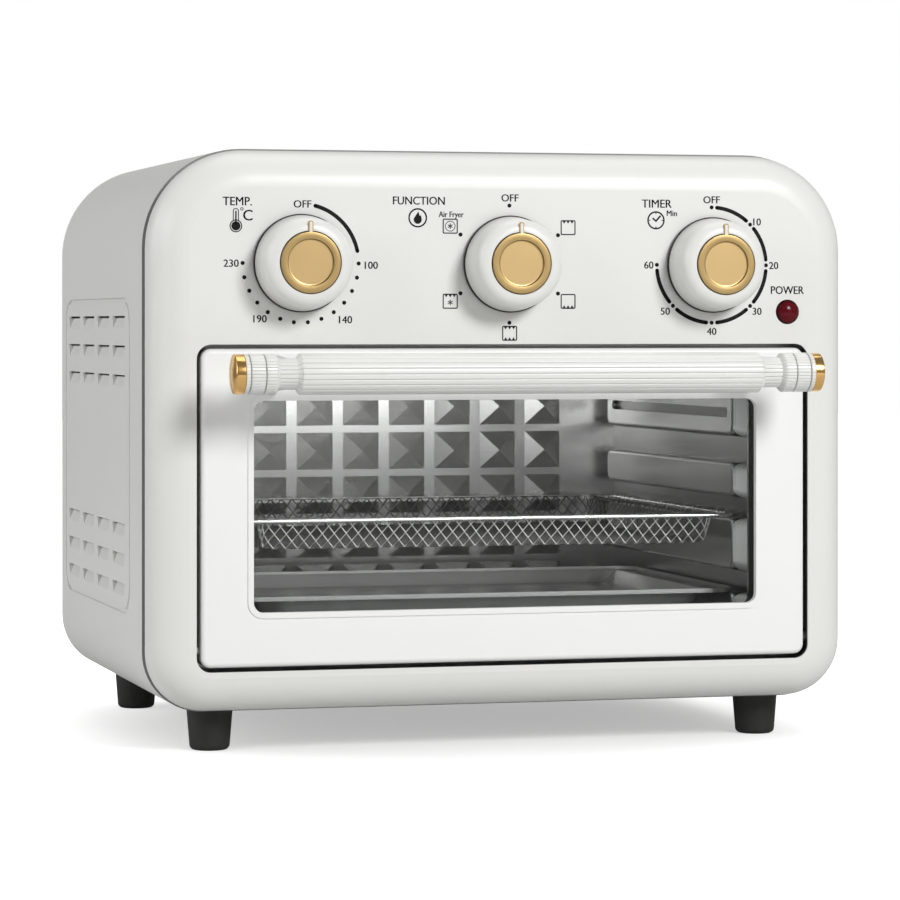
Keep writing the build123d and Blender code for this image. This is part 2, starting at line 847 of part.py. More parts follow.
def handle_bar():
    """Reeded grip with a smaller neck at each end."""
    centre = Pos(-handle_stand_off, handle_height)
    bar = along_x(centre * reeded(handle_radius), -handle_bar_half, handle_bar_half)
    reach = handle_bar_half + neck_length
    return bar + along_x(centre * reeded(handle_neck_radius), -reach, reach)


def handle_collar(side):
    """Two reeded rings and a plain disc outside a neck, parted by thin grooves."""
    centre = Pos(-handle_stand_off, handle_height)
    start = handle_bar_half + neck_length
    end = start + collar_length
    disc = end - collar_disc
    collar = along_x(centre * reeded(collar_radius), start, disc)
    collar += along_x(centre * Circle(cap_radius), disc, end)
    for split in (disc, disc - collar_ring):
        collar -= along_x(centre * (Circle(2 * collar_radius) - Circle(handle_neck_radius)),
                          split - collar_groove, split)
    return collar if side > 0 else mirror(collar, Plane.YZ)


def handle_cap(side):
    """Polished end cap with a rounded rim."""
    start = handle_bar_half + neck_length + collar_length
    cap = rod_x(-handle_stand_off, handle_height, cap_radius, start, start + cap_length)
    cap = fillet(cap.edges().group_by(Axis.X)[-1], cap_round)
    return cap if side > 0 else mirror(cap, Plane.YZ)


def handle_post(x):
    """Block between the door and a neck of the handle."""
    half = neck_length / 2
    half_height = post_height / 2
    post = block((x - half, x + half), (-handle_stand_off, 0),
                 (handle_height - half_height, handle_height + half_height))
    neck = rod_x(-handle_stand_off, handle_height, handle_neck_radius, x - half, x + half)
    front = block((x - half, x + half), (-2 * handle_stand_off, -handle_stand_off),
                  (handle_height - handle_radius, handle_height + handle_radius))
    post = post - neck - front
    return post - rod_y(x, handle_height, handle_screw_radius, -screw_length, 0)


def handle_screws():
    """Screws from inside the door into the handle's posts."""
    screws = []
    for x in post_places():
        start = door_skin + fixed_gap
        shank = rod_y(x, handle_height, handle_screw_radius, -screw_length, start)
        head = rod_y(x, handle_height, screw_head_radius, start, start + screw_head_height)
        screws.append(shank + head)
    return screws


def tub(levels, sheet_thickness):
    """An open dish between two rounded plans: the upper at its mouth, the lower outside its floor."""
    top, bottom = levels
    outer = loft([Plane((0, 0, z)) * plan(*shape) for shape, z in (bottom, top)])
    inner_plans = []
    for (half_width, front, back, radius), z in (bottom, top):
        shape = plan(half_width - sheet_thickness, front + sheet_thickness,
                     back - sheet_thickness, radius - sheet_thickness)
        lift = sheet_thickness if z == bottom[1] else 0
        inner_plans.append(Plane((0, 0, z + lift)) * shape)
    return outer - loft(inner_plans)


def basket_frame():
    """Basket's rim: a closed rod that rides on the middle shelf pads and a band round the tub."""
    half = shelf_half_width - rim_rod_radius
    front = shelf_front + rim_rod_radius
    back = basket_back - rim_rod_radius
    path = Plane((0, 0, rim_height)) * plan(half, front, back, basket_corner - rim_rod_radius)
    start = Plane((0, front, rim_height), x_dir=(0, 1, 0), z_dir=(1, 0, 0))
    rod = sweep(start * Circle(rim_rod_radius), path.wire())
    outer = plan(*tub_plan(0))
    inner = plan(*tub_plan(rim_band))
    return rod + along_z(outer - inner, rim_height - rim_band_height / 2,
                         rim_height + rim_band_height / 2)


def tub_plan(inset):
    """The limits of the basket tub's outline, as its band's outside pulled in by inset."""
    front = shelf_front + rim_rod_radius
    back = basket_back - rim_rod_radius
    return (shelf_half_width - basket_wing - inset, front + inset, back - inset,
            tub_corner - inset)


def basket_mesh():
    """Mesh tub hung inside the rim's band, its floor pierced in diamonds."""
    inset = rim_band + fixed_gap
    mouth = tub_plan(inset)
    sole = (mouth[0] - basket_slope, mouth[1] + basket_slope, mouth[2] - basket_slope, mouth[3])
    low = rim_height - basket_drop
    dish = tub([(mouth, rim_height), (sole, low)], basket_sheet)
    hole = Rot(0, 0, 45) * Rectangle(mesh_hole, mesh_hole)
    span_x = 2 * (sole[0] - mesh_hole)
    span_y = sole[2] - sole[1] - 2 * mesh_hole
    middle = Pos(0, (sole[1] + sole[2]) / 2)
    grid = GridLocations(mesh_pitch_x, mesh_pitch_y, 1 + int(span_x / mesh_pitch_x),
                         1 + int(span_y / mesh_pitch_y))
    holes = middle * (Sketch() + [place * hole for place in grid])
    return dish - along_z(holes, low, low + basket_sheet)


def bake_tray():
    """Pressed tray with a shallow well, side flanges on the lowest pads and a raised edge."""
    well_half = shelf_half_width - tray_side_flange
    mouth = (well_half, shelf_front + tray_front_lip, tray_back - tray_back_lip,
             tray_corner - tray_bead)
    sole = (mouth[0] - tray_slope, mouth[1] + tray_slope, mouth[2] - tray_slope, tray_corner)
    rim_top = tray_seat + tray_sheet
    low = tray_seat - tray_drop
    dish = tub([(mouth, rim_top), (sole, low)], tray_sheet)
    outer = plan(shelf_half_width, shelf_front, tray_back, tray_corner)
    well = plan(mouth[0] - tray_sheet, mouth[1] + tray_sheet, mouth[2] - tray_sheet,
                mouth[3] - tray_sheet)
    dish += along_z(outer - well, tray_seat, rim_top)
    inner = plan(shelf_half_width - tray_sheet, shelf_front + tray_sheet, tray_back - tray_sheet,
                 tray_corner - tray_sheet)
    return dish + along_z(outer - inner, rim_top, rim_top + tray_bead)


def save(name, solids):
    """Write one sub-part, moved into the part's own frame."""
    parts = solids if isinstance(solids, list) else [solids]
    placed = [Pos(0, front_plane, 0) * part for part in parts]
    shape = placed[0] if len(placed) == 1 else Compound(children=placed)
    export_step(shape, f"parts/{name}.step")


def save_cabinet():
    """The fixed cabinet and everything screwed to it."""
    save("front_bezel", front_bezel())
    save("outer_case", outer_case())
    save("rear_panel", rear_panel())
    save("rear_screws", rear_screws())
    save("cord_gland", cord_gland())
    for name, (x, y) in zip(("front_left", "front_right", "rear_left", "rear_right"),
                            foot_places()):
        save(f"foot_{name}", foot(x, y))
    save("foot_screws", foot_screws())
    save("control_bracket", control_bracket())
    save("thermostat", control_unit(dial_places[0], switch_depth))
    save("function_switch", control_unit(dial_places[1], switch_depth))
    save("timer_unit", control_unit(dial_places[2], timer_depth))
    save("shaft_nuts", shaft_nuts())
    save("power_lamp_lens", power_lamp_lens())
    save("power_lamp_body", power_lamp_body())


def save_chamber():
    """The cooking chamber, its heaters and the fan above it."""
    save("cavity_front_frame", cavity_front_frame())
    for name, side in (("left", -1), ("right", 1)):
        save(f"cavity_{name}_wall", cavity_side_wall(side))
        save(f"hinge_bracket_{name}", hinge_bracket(side))
    save("cavity_back_wall", cavity_back_wall())
    save("cavity_ceiling", cavity_ceiling())
    save("cavity_floor", cavity_floor())
    for name, y in zip(("front", "rear"), heater_places):
        save(f"upper_heater_{name}", heater(y, upper_heater_height))
        save(f"lower_heater_{name}", heater(y, lower_heater_height))
    save("heater_insulators", heater_insulators())
    save("fan_housing", fan_housing())
    save("fan_motor", fan_motor())
    save("fan_impeller", fan_impeller())
    save("fan_shaft", fan_shaft())


def save_door():
    """The drop-down door and its handle."""
    save("door_frame", door_frame())
    save("door_glass", door_glass())
    save("glass_gasket", glass_gasket())
    save("door_liner", door_liner())
    save("hinge_pins", hinge_pins())
    save("handle_bar", handle_bar())
    for name, side in (("left", -1), ("right", 1)):
        save(f"handle_collar_{name}", handle_collar(side))
        save(f"handle_cap_{name}", handle_cap(side))
    for name, x in zip(("left", "right"), post_places()):
        save(f"handle_post_{name}", handle_post(x))
    save("handle_screws", handle_screws())


def save_knobs():
    """The three turning knobs."""
    for name, x in zip(("temp", "function", "timer"), dial_places):
        save(f"{name}_knob", knob(x))
        save(f"{name}_disc", knob_disc(x))
        save(f"{name}_shaft", knob_shaft(x))


def save_cookware():
    """What slides out of the chamber."""
    save("basket_frame", basket_frame())
    save("basket_mesh", basket_mesh())
    save("bake_tray", bake_tray())


os.makedirs("parts", exist_ok=True)
save_cabinet()
save_chamber()
save_door()
save_knobs()
save_cookware()
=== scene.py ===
"""The looks of the air fryer toaster oven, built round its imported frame."""
import math

import bmesh
import bpy
from mathutils import Matrix, Vector


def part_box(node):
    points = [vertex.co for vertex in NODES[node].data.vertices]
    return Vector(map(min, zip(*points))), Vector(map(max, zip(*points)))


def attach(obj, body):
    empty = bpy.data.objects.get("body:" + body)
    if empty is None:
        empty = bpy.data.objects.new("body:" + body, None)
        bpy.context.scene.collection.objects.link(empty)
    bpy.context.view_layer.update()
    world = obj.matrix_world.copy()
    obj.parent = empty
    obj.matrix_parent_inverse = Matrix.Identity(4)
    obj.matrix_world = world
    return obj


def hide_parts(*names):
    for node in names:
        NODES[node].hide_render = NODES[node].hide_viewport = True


bl_info = {
    "name": "Air fryer toaster oven",
    "version": (1, 0, 0),
    "blender": (4, 5, 0),
    "location": "View3D > Sidebar > Oven",
    "description": "Builds the oven's visible pieces and finishes round its frame",
    "category": "Object",
}

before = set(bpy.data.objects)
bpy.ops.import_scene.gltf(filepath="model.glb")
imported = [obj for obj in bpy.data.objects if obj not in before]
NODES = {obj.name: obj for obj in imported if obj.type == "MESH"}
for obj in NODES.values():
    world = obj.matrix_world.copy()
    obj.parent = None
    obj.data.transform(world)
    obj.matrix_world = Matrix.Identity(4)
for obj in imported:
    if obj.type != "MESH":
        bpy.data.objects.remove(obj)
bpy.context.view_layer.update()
MM = 0.001


def low(node):
    """A node's lowest corner."""
    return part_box(node)[0]


def high(node):
    """A node's highest corner."""
    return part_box(node)[1]


def middle(node):
    """The middle of a node's box."""
    return (low(node) + high(node)) / 2


def half_width(node):
    """Half of a node's size along X."""
    return (high(node).x - low(node).x) / 2


PANEL_FRONT = low("front_bezel").y
KNOB_BACK = high("temp_knob").y
KNOB_LENGTH = KNOB_BACK - low("temp_knob").y
DIALS = {name: middle(f"{name}_knob") for name in ("temp", "function", "timer")}
GRIP = middle("handle_bar")

# Depth of a knob's foot, painted dark as shade against the panel, and the radii of the disc's seat,
# its edge and its sunk middle.
FOOT = 0.9 * MM
DISC_SEAT = 14.9 * MM
DISC_EDGE = 14.5 * MM
DISC_INNER = 11.05 * MM


def size_property(name, description, millimetres):
    """A length of the looks, given in millimetres."""
    return bpy.props.FloatProperty(name=name, description=description,
                                   default=millimetres * MM, unit="LENGTH", precision=5)


def colour_property(name, description, red, green, blue):
    """A colour of the looks."""
    return bpy.props.FloatVectorProperty(name=name, description=description, subtype="COLOR",
                                         size=4, default=(red, green, blue, 1))


class OvenSizes(bpy.types.PropertyGroup):
    """Sizes of the pieces that are modelled here."""

    reeds: bpy.props.IntProperty(
        name="Reeds", description="Reeds round the handle's bar", default=22, min=8)
    collar_reeds: bpy.props.IntProperty(
        name="Collar reeds", description="Reeds round the handle's collars", default=36, min=8)
    reed_depth: size_property("Reed depth", "Depth of the grooves between reeds", 0.42)
    bar_radius: size_property("Bar radius", "Radius of the handle's bar over its reeds", 9.75)
    neck_radius: size_property("Neck radius", "Radius of the handle beside its collars", 7.3)
    neck_run: size_property("Neck run", "From the bar's full width to the end of its neck", 10.9)
    shoulder: size_property("Shoulder", "Length of the slopes beside the necks", 2.2)
    collar_radius: size_property("Collar radius", "Radius of the collars over their reeds", 9.5)
    collar_ring: size_property("Collar ring", "Length of a collar's outer reeded ring", 7.2)
    collar_disc: size_property("Collar disc", "Thickness of the plain disc by the cap", 2.0)
    collar_line: size_property("Collar line", "Width of the grooves in a collar", 0.5)
    cap_dome: size_property("Cap dome", "Rise of a cap's domed face", 1.4)
    knob_taper: size_property("Knob taper", "How much smaller the knob's front is", 1.4)
    knob_edge: size_property("Knob edge", "Radius of the knob's rounded front edge", 6.0)
    foot_lip: size_property("Foot lip", "How far the knob's dark foot shows past it", 0.6)
    wire: size_property("Mesh wire", "Thickness of the basket's woven wire", 0.58)
    mesh_pitch: size_property("Mesh pitch", "Width of one diamond of the basket's mesh", 6.0)
    tub_slope: size_property("Tub slope", "How far the basket's walls lean out", 4.0)
    print_height: size_property("Print height", "Thickness of the panel's printed marks", 0.06)
    dot_ring: size_property("Dot ring", "Radius of the printed dots' ring round a knob", 28.36)
    arc_width: size_property("Arc width", "Width of the printed arcs", 1.9)


class OvenColours(bpy.types.PropertyGroup):
    """Colours of the finishes."""

    body: colour_property("Body", "Warm white of the case, panel, knobs and handle",
                          0.80, 0.80, 0.772)
    gold_plate: colour_property("Gold plate", "Plating of the handle's caps", 0.86, 0.53, 0.19)
    rubber: colour_property("Rubber", "Black rubber of the feet", 0.022, 0.022, 0.021)
    print_ink: colour_property("Print", "Near black of the panel's marks", 0.006, 0.006, 0.0055)
    steel: colour_property("Steel", "Sheet steel of the chamber", 0.74, 0.74, 0.73)
    lens: colour_property("Lamp lens", "Dark red of the power lamp", 0.07, 0.002, 0.005)
    gap: colour_property("Gap", "Near black of the gap round the door", 0.012, 0.012, 0.011)
    glass: colour_property("Glass", "Sheen of the window's glass", 0.9, 0.93, 0.92)
    # Painted shade: this near black stands in for the shadow in the gap round the door.
    zinc: colour_property("Zinc", "Galvanised brackets and housings", 0.46, 0.47, 0.48)
    plating: colour_property("Plating", "Screws, nuts and shafts", 0.55, 0.55, 0.56)
    moulding: colour_property("Moulding", "Black plastic of the controls", 0.03, 0.03, 0.032)
    ceramic: colour_property("Ceramic", "Fired bushes of the heaters", 0.78, 0.75, 0.68)
    aluminium: colour_property("Aluminium", "Cast fan wheel", 0.6, 0.6, 0.61)
    silicone: colour_property("Silicone", "Grey seal round the glass", 0.055, 0.055, 0.054)


def shaded(colour, share):
    """A colour made darker or lighter."""
    return [min(1, part * share) for part in colour[:3]] + [1]


class Value:
    """A node's output that Python's operators work on."""

    def __init__(self, finish, socket):
        self.finish = finish
        self.socket = socket

    def maths(self, operation, *others):
        """A Math node fed by this value and others."""
        inputs = dict(enumerate((self, *others)))
        return self.finish.node("ShaderNodeMath", {"operation": operation}, inputs)

    def __add__(self, other):
        return self.maths("ADD", other)

    def __radd__(self, other):
        return self.maths("ADD", other)

    def __sub__(self, other):
        return self.maths("SUBTRACT", other)

    def __rsub__(self, other):
        inputs = {0: other, 1: self}
        return self.finish.node("ShaderNodeMath", {"operation": "SUBTRACT"}, inputs)

    def __mul__(self, other):
        return self.maths("MULTIPLY", other)

    def __rmul__(self, other):
        return self.maths("MULTIPLY", other)

    def __pow__(self, other):
        return self.maths("POWER", other)

    def absolute(self):
        """The value without its sign."""
        return self.maths("ABSOLUTE")

    def above(self, limit):
        """One where the value is above a limit, and nought elsewhere."""
        return self.maths("GREATER_THAN", limit)

    def below(self, limit):
        """One where the value is below a limit, and nought elsewhere."""
        return self.maths("LESS_THAN", limit)

    def ramp(self, start, end):
        """From nought to one as the value goes from start to end."""
        return self.finish.node("ShaderNodeMapRange", {}, {
            "Value": self, "From Min": start, "From Max": end})


class Finish:
    """One finish: a material whose nodes end in a Principled shader."""

    def __init__(self, name, **constants):
        self.material = bpy.data.materials.new(name)
        self.material.use_nodes = True
        self.tree = self.material.node_tree
        self.tree.nodes.clear()
        self.output = self.tree.nodes.new("ShaderNodeOutputMaterial")
        self.shader = self.tree.nodes.new("ShaderNodeBsdfPrincipled")
        self.surface(Value(self, self.shader.outputs[0]))
        for socket, value in constants.items():
            self.shader.inputs[socket.replace("_", " ")].default_value = value

    def node(self, kind, settings=None, inputs=None, output=0):
        """A node with its settings made first, then its sockets' values or links."""
        made = self.tree.nodes.new(kind)
        for name, value in (settings or {}).items():
            setattr(made, name, value)
        for name, value in (inputs or {}).items():
            self.feed(made.inputs[name], value)
        return Value(self, made.outputs[output])

    def feed(self, socket, value):
        """Link a value to a socket, or set the socket's own value."""
        if isinstance(value, Value):
            self.tree.links.new(value.socket, socket)
        else:
            socket.default_value = value

    def drive(self, name, value):
        """Feed one of the shader's sockets."""
        self.feed(self.shader.inputs[name], value)

    def surface(self, value):
        """Show a shader's output."""
        self.feed(self.output.inputs["Surface"], value)

    def place(self, scale=(1, 1, 1), shift=(0, 0, 0)):
        """Object coordinates through a Mapping node."""
        coordinates = self.node("ShaderNodeTexCoord", output=3)
        return self.node("ShaderNodeMapping", {}, {
            "Vector": coordinates, "Scale": scale, "Location": shift})

    def parts(self, centre=(0, 0, 0)):
        """The three distances from a point, along X, Y and Z."""
        shift = tuple(-part for part in centre)
        first = self.node("ShaderNodeSeparateXYZ", {}, {"Vector": self.place(shift=shift)})
        return [Value(self, socket) for socket in first.socket.node.outputs]

    def round_parts(self, centre):
        """The distance from an axis along Y through a point, and the depth behind the point."""
        across, depth, upward = self.parts(centre)
        return (across * across + upward * upward) ** 0.5, depth

    def noise(self, scale, detail=2.0, rough=0.5, vector=None):
        """Noise on Object coordinates."""
        return self.node("ShaderNodeTexNoise", {}, {
            "Vector": vector or self.place(), "Scale": scale, "Detail": detail,
            "Roughness": rough})

    def bump(self, height, strength, distance=0.1 * MM):
        """Bump that feeds the shader's normal."""
        self.drive("Normal", self.node("ShaderNodeBump", {}, {
            "Height": height, "Strength": strength, "Distance": distance}))

    def tint(self, mask, first, second):
        """A colour between two, by a mask."""
        return self.node("ShaderNodeMix", {"data_type": "RGBA"},
                         {"Factor": mask, 6: first, 7: second}, output=2)

    def drift(self, colour, mask, spread):
        """A colour that goes from a little darker to a little lighter by a mask."""
        return self.tint(mask, shaded(colour, 1 - spread), shaded(colour, 1 + spread))


def grained(name, colour, spread, grain_size, rough, span, strength=None, **constants):
    """A finish whose one fine grain drives its colour, its roughness and, if any, its bump."""
    finish = Finish(name, **constants)
    grain = finish.noise(*grain_size)
    finish.drive("Base Color", finish.drift(colour, grain, spread))
    finish.drive("Roughness", rough + span * grain)
    if strength:
        finish.bump(grain, strength)
    return finish.material


def painted_steel(colours):
    """Satin enamel with a faint orange peel, with painted shade in the seam behind the bezel."""
    seam_width = 0.8 * MM
    finish = Finish("painted_steel", Coat_Weight=0.12, Coat_Roughness=0.2)
    white = finish.tint(finish.noise(14), shaded(colours.body, 0.985), shaded(colours.body, 1.01))
    depth = finish.parts(low("outer_case"))[1]
    # Painted shade: the case's front 0.8 mm goes near black, standing in for the shadow in the seam.
    finish.drive("Base Color", finish.tint(0.75 * depth.below(seam_width), white,
                                           (0.05, 0.05, 0.048, 1)))
    finish.drive("Roughness", 0.36 + 0.07 * finish.noise(160, 3))
    finish.bump(finish.noise(900), 0.06, 0.2 * MM)
    return finish.material


def gap_shade_mask(finish):
    """One in the narrow gap round the door, behind its front face, where shade is painted."""
    centre = Vector((middle("door_frame").x, PANEL_FRONT, middle("door_frame").z))
    half_tall = (high("door_frame").z - low("door_frame").z) / 2
    halves = (half_width("door_frame"), half_tall)
    outside = 2.5 * MM
    inside = 3 * MM
    across, depth, upward = finish.parts(centre)
    reaches = (across.absolute(), upward.absolute())
    opening = reaches[0].below(halves[0] + outside) * reaches[1].below(halves[1] + outside)
    inner = reaches[0].below(halves[0] - inside) * reaches[1].below(halves[1] - inside)
    return opening * (1 - inner) * depth.above(1.2 * MM)


def satin_plastic(colours):
    """Moulded warm white plastic with a fine spark-eroded grain, with painted shade in the gap round
    the door.
    """
    finish = Finish("satin_plastic", Coat_Weight=0.1, Coat_Roughness=0.25)
    white = finish.drift(colours.body, finish.noise(9), 0.01)
    # Painted shade: the gap round the door goes near black, as if in shadow.
    finish.drive("Base Color", finish.tint(gap_shade_mask(finish), white, colours.gap))
    finish.drive("Roughness", 0.34 + 0.06 * finish.noise(300, 3))
    finish.bump(finish.noise(1500), 0.05)
    return finish.material


def reeded_plastic(colours, name, reeds):
    """Satin white with painted shade in the grooves between the reeds."""
    finish = Finish(name, Coat_Weight=0.1, Coat_Roughness=0.2)
    depth, upward = finish.parts((0, GRIP.y, GRIP.z))[1:]
    turn = (upward.maths("ARCTAN2", depth) * (reeds / math.tau)).maths("FRACT")
    # Painted shade: the grooves between the reeds are darkened, as if shadowed.
    groove = (2 * turn - 1).absolute() ** 14.0
    white = finish.drift(colours.body, finish.noise(9), 0.01)
    finish.drive("Base Color", finish.tint(0.75 * groove, white, shaded(colours.body, 0.35)))
    finish.drive("Roughness", 0.27 + 0.06 * finish.noise(300, 3))
    return finish.material


def knob_plastic(colours, name):
    """Satin white with painted shade on its foot against the panel and in the groove round the disc.
    """
    finish = Finish(f"{name}_knob_plastic", Coat_Weight=0.1, Coat_Roughness=0.25)
    white = finish.drift(colours.body, finish.noise(9), 0.01)
    centre = Vector((DIALS[name].x, KNOB_BACK, DIALS[name].z))
    radius, depth = finish.round_parts(centre)
    # Painted shade: the foot against the panel and the groove round the disc go near black, as if in
    # shadow.
    foot = depth.above(-FOOT - 0.1 * MM)
    groove = radius.below(DISC_SEAT + 0.08 * MM) * depth.above(0.2 * MM - KNOB_LENGTH)
    dark = foot.maths("MAXIMUM", groove)
    finish.drive("Base Color", finish.tint(dark, white, (0.02, 0.017, 0.012, 1)))
    finish.drive("Roughness", 0.28 + 0.06 * finish.noise(300, 3))
    finish.bump(finish.noise(1500), 0.05)
    return finish.material


def turned_gold(name):
    """Anodised gold with fine turning marks round a knob's axis and a painted shade line by its
    ring.
    """
    finish = Finish(f"{name}_gold", Metallic=0.92)
    radius = finish.round_parts((DIALS[name].x, 0, DIALS[name].z))[0]
    rings = finish.node("ShaderNodeTexNoise", {"noise_dimensions": "1D"},
                        {"W": radius, "Scale": 5200.0, "Detail": 2.0})
    ring = finish.tint(rings, (0.475, 0.33, 0.14, 1), (0.525, 0.37, 0.16, 1))
    face = finish.tint(rings, (0.62, 0.435, 0.2, 1), (0.68, 0.48, 0.225, 1))
    gold = finish.tint(radius.below(11.0 * MM), ring, face)
    # Painted shade: a dark line round the step into the sunk middle.
    line = (radius - DISC_INNER).absolute().below(0.17 * MM)
    finish.drive("Base Color", finish.tint(0.7 * line, gold, (0.12, 0.07, 0.02, 1)))
    finish.drive("Roughness", 0.3 + 0.1 * rings)
    finish.bump(rings, 0.12, 0.08 * MM)
    return finish.material


def polished_gold(colours):
    """Bright gold plate of the handle's caps."""
    finish = Finish("polished_gold", Metallic=1.0)
    smear = finish.noise(60, 3)
    finish.drive("Base Color", finish.drift(colours.gold_plate, smear, 0.06))
    finish.drive("Roughness", 0.13 + 0.08 * smear)
    finish.bump(finish.noise(500), 0.03)
    return finish.material


def matt_rubber(colours):
    """Black rubber with a faint dusty grain."""
    finish = Finish("matt_rubber", Specular_IOR_Level=0.35)
    grain = finish.noise(420, 4)
    finish.drive("Base Color", finish.drift(colours.rubber, grain, 0.3))
    finish.drive("Roughness", 0.5 + 0.2 * grain)
    finish.bump(grain, 0.2, 0.2 * MM)
    return finish.material


def rolled_steel(colours, name):
    """Bright rolled sheet with long fine streaks along X."""
    finish = Finish(name, Metallic=0.88)
    streaks = finish.noise(1.0, 3, 0.6, finish.place(scale=(9, 420, 420)))
    stain = finish.noise(22, 3)
    mix = 0.5 * streaks + 0.5 * stain
    finish.drive("Base Color", finish.drift(colours.steel, mix, 0.07))
    finish.drive("Roughness", 0.2 + 0.06 * streaks + 0.05 * stain)
    finish.bump(streaks, 0.012, 0.02 * MM)
    return finish.material


def steel_upright(colours):
    """Rolled steel of the chamber's upright sheets."""
    return rolled_steel(colours, "steel_upright")


def steel_flat(colours):
    """Rolled steel of the chamber's ceiling and floor."""
    return rolled_steel(colours, "steel_flat")


def pad_steel(colours):
    """Rolled steel of the side walls: bright pads, painted shade on their flanks and on the sheet
    between them, and a painted highlight on their front slope.
    """
    pad_height = 8 * MM
    slope_end = 7.8 * MM
    finish = Finish("pad_steel", Metallic=0.88)
    streaks = finish.noise(1.0, 3, 0.6, finish.place(scale=(420, 9, 420)))
    mix = 0.5 * streaks + 0.5 * finish.noise(22, 3)
    face = low("cavity_right_wall").x
    across, depth = finish.parts((0, low("cavity_right_wall").y, 0))[:2]
    out = across.absolute() - face
    leave = out.ramp(0.8 * MM, 2.2 * MM)
    reach = out.ramp(pad_height - 1.2 * MM, pad_height - 0.2 * MM)
    front = depth.below(slope_end)
    side = leave * (1 - reach)
    # The pads' own streaked steel, and painted shade on the sheet between them.
    pad = finish.tint(mix, shaded(colours.steel, 0.92), shaded(colours.steel, 1.06))
    sheet = finish.tint(mix, shaded(colours.steel, 0.62), shaded(colours.steel, 0.74))
    steel = finish.tint(reach, pad, sheet)
    # Painted shade on the pads' flanks, then a painted highlight, white and rougher, on their front
    # slope.
    steel = finish.tint(side * (1 - front), steel, shaded(colours.steel, 0.3))
    finish.drive("Base Color", finish.tint(side * front, steel, (1, 1, 0.99, 1)))
    finish.drive("Roughness", 0.2 + 0.06 * streaks + 0.3 * side * front)
    finish.bump(streaks, 0.012, 0.02 * MM)
    return finish.material


def tray_steel(colours):
    """Bright pressed tray, with a painted highlight on its rear wall."""
    finish = Finish("tray_steel", Metallic=0.8)
    streaks = finish.noise(1.0, 3, 0.6, finish.place(scale=(9, 300, 300)))
    # Painted highlight: the rear wall goes near white and rougher, as if brightly lit.
    rear = finish.parts(high("bake_tray"))[1].ramp(-14 * MM, -8 * MM)
    steel = finish.tint(streaks, shaded(colours.steel, 0.85), colours.steel)
    finish.drive("Base Color", finish.tint(rear, steel, (1, 1, 0.99, 1)))
    finish.drive("Roughness", 0.2 + 0.08 * streaks + 0.25 * rear)
    finish.bump(streaks, 0.012, 0.02 * MM)
    return finish.material


def bright_wire(colours):
    """Chromed wire of the basket's rim."""
    finish = Finish("bright_wire", Metallic=1.0)
    spots = finish.noise(240)
    finish.drive("Base Color", finish.drift(shaded(colours.steel, 1.2), spots, 0.08))
    finish.drive("Roughness", 0.2 + 0.12 * spots)
    return finish.material


def woven_wire():
    """Mesh wire that is bright on the front wall, with painted shade on the wires behind it."""
    finish = Finish("woven_wire", Metallic=0.75)
    spots = finish.noise(240)
    # Painted shade: past the front wall the wire goes dark, as if in shadow.
    rear = finish.parts(low("basket_mesh"))[1].ramp(3.5 * MM, 6 * MM)
    bright = finish.tint(spots, (0.78, 0.78, 0.77, 1), (0.95, 0.95, 0.94, 1))
    painted_shade_wire = finish.tint(spots, (0.16, 0.155, 0.15, 1), (0.24, 0.235, 0.23, 1))
    finish.drive("Base Color", finish.tint(rear, bright, painted_shade_wire))
    finish.drive("Roughness", 0.3 + 0.15 * spots)
    return finish.material


def zinc_plate(colours):
    """Galvanised sheet with a soft spangle."""
    finish = Finish("zinc_plate", Metallic=0.8)
    spangle = finish.node("ShaderNodeTexVoronoi", {}, {"Vector": finish.place(), "Scale": 120.0})
    finish.drive("Base Color", finish.drift(colours.zinc, spangle, 0.12))
    finish.drive("Roughness", 0.35 + 0.15 * spangle)
    finish.bump(spangle, 0.04)
    return finish.material


def dark_moulding(colours):
    """Black moulded plastic of the hidden controls."""
    return grained("dark_moulding", colours.moulding, spread=0.15,
                   grain_size=(500, 3), rough=0.45, span=0.12, strength=0.1)


def fired_ceramic(colours):
    """Off-white fired ceramic."""
    return grained("fired_ceramic", colours.ceramic, spread=0.05,
                   grain_size=(320, 3), rough=0.5, span=0.15, strength=0.1)


def cast_aluminium(colours):
    """Cast aluminium of the fan wheel."""
    return grained("cast_aluminium", colours.aluminium, spread=0.08,
                   grain_size=(300, 3), rough=0.38, span=0.12, strength=0.08, Metallic=0.9)


def plated_steel(colours):
    """Plated screws, nuts and shafts."""
    return grained("plated_steel", colours.plating, spread=0.08,
                   grain_size=(400, 2), rough=0.26, span=0.1, strength=0.05, Metallic=1.0)


def panel_ink(colours):
    """Pad-printed ink, a little uneven."""
    return grained("panel_ink", colours.print_ink, spread=0.2,
                   grain_size=(900, 2), rough=0.4, span=0.1, Specular_IOR_Level=0.15)


def seal_rubber(colours):
    """Grey silicone of the glass seal."""
    return grained("seal_rubber", colours.silicone, spread=0.2,
                   grain_size=(500, 3), rough=0.5, span=0.12, strength=0.1)


def red_lens(colours):
    """Dark red moulded lens over a facetted reflector, darker towards its rim."""
    finish = Finish("red_lens", Coat_Weight=0.12, Coat_Roughness=0.06, Specular_IOR_Level=0.15)
    facets = finish.node("ShaderNodeTexVoronoi", {}, {"Vector": finish.place(), "Scale": 900.0})
    radius = finish.round_parts(middle("power_lamp_lens"))[0]
    outer = half_width("power_lamp_lens")
    rim = radius.ramp(0.72 * outer, 0.95 * outer)
    red = finish.tint(facets, colours.lens, (0.14, 0.004, 0.01, 1))
    finish.drive("Base Color", finish.tint(rim, red, (0.018, 0.001, 0.002, 1)))
    finish.drive("Roughness", 0.12 + 0.1 * facets)
    finish.bump(facets, 0.2, 0.2 * MM)
    return finish.material


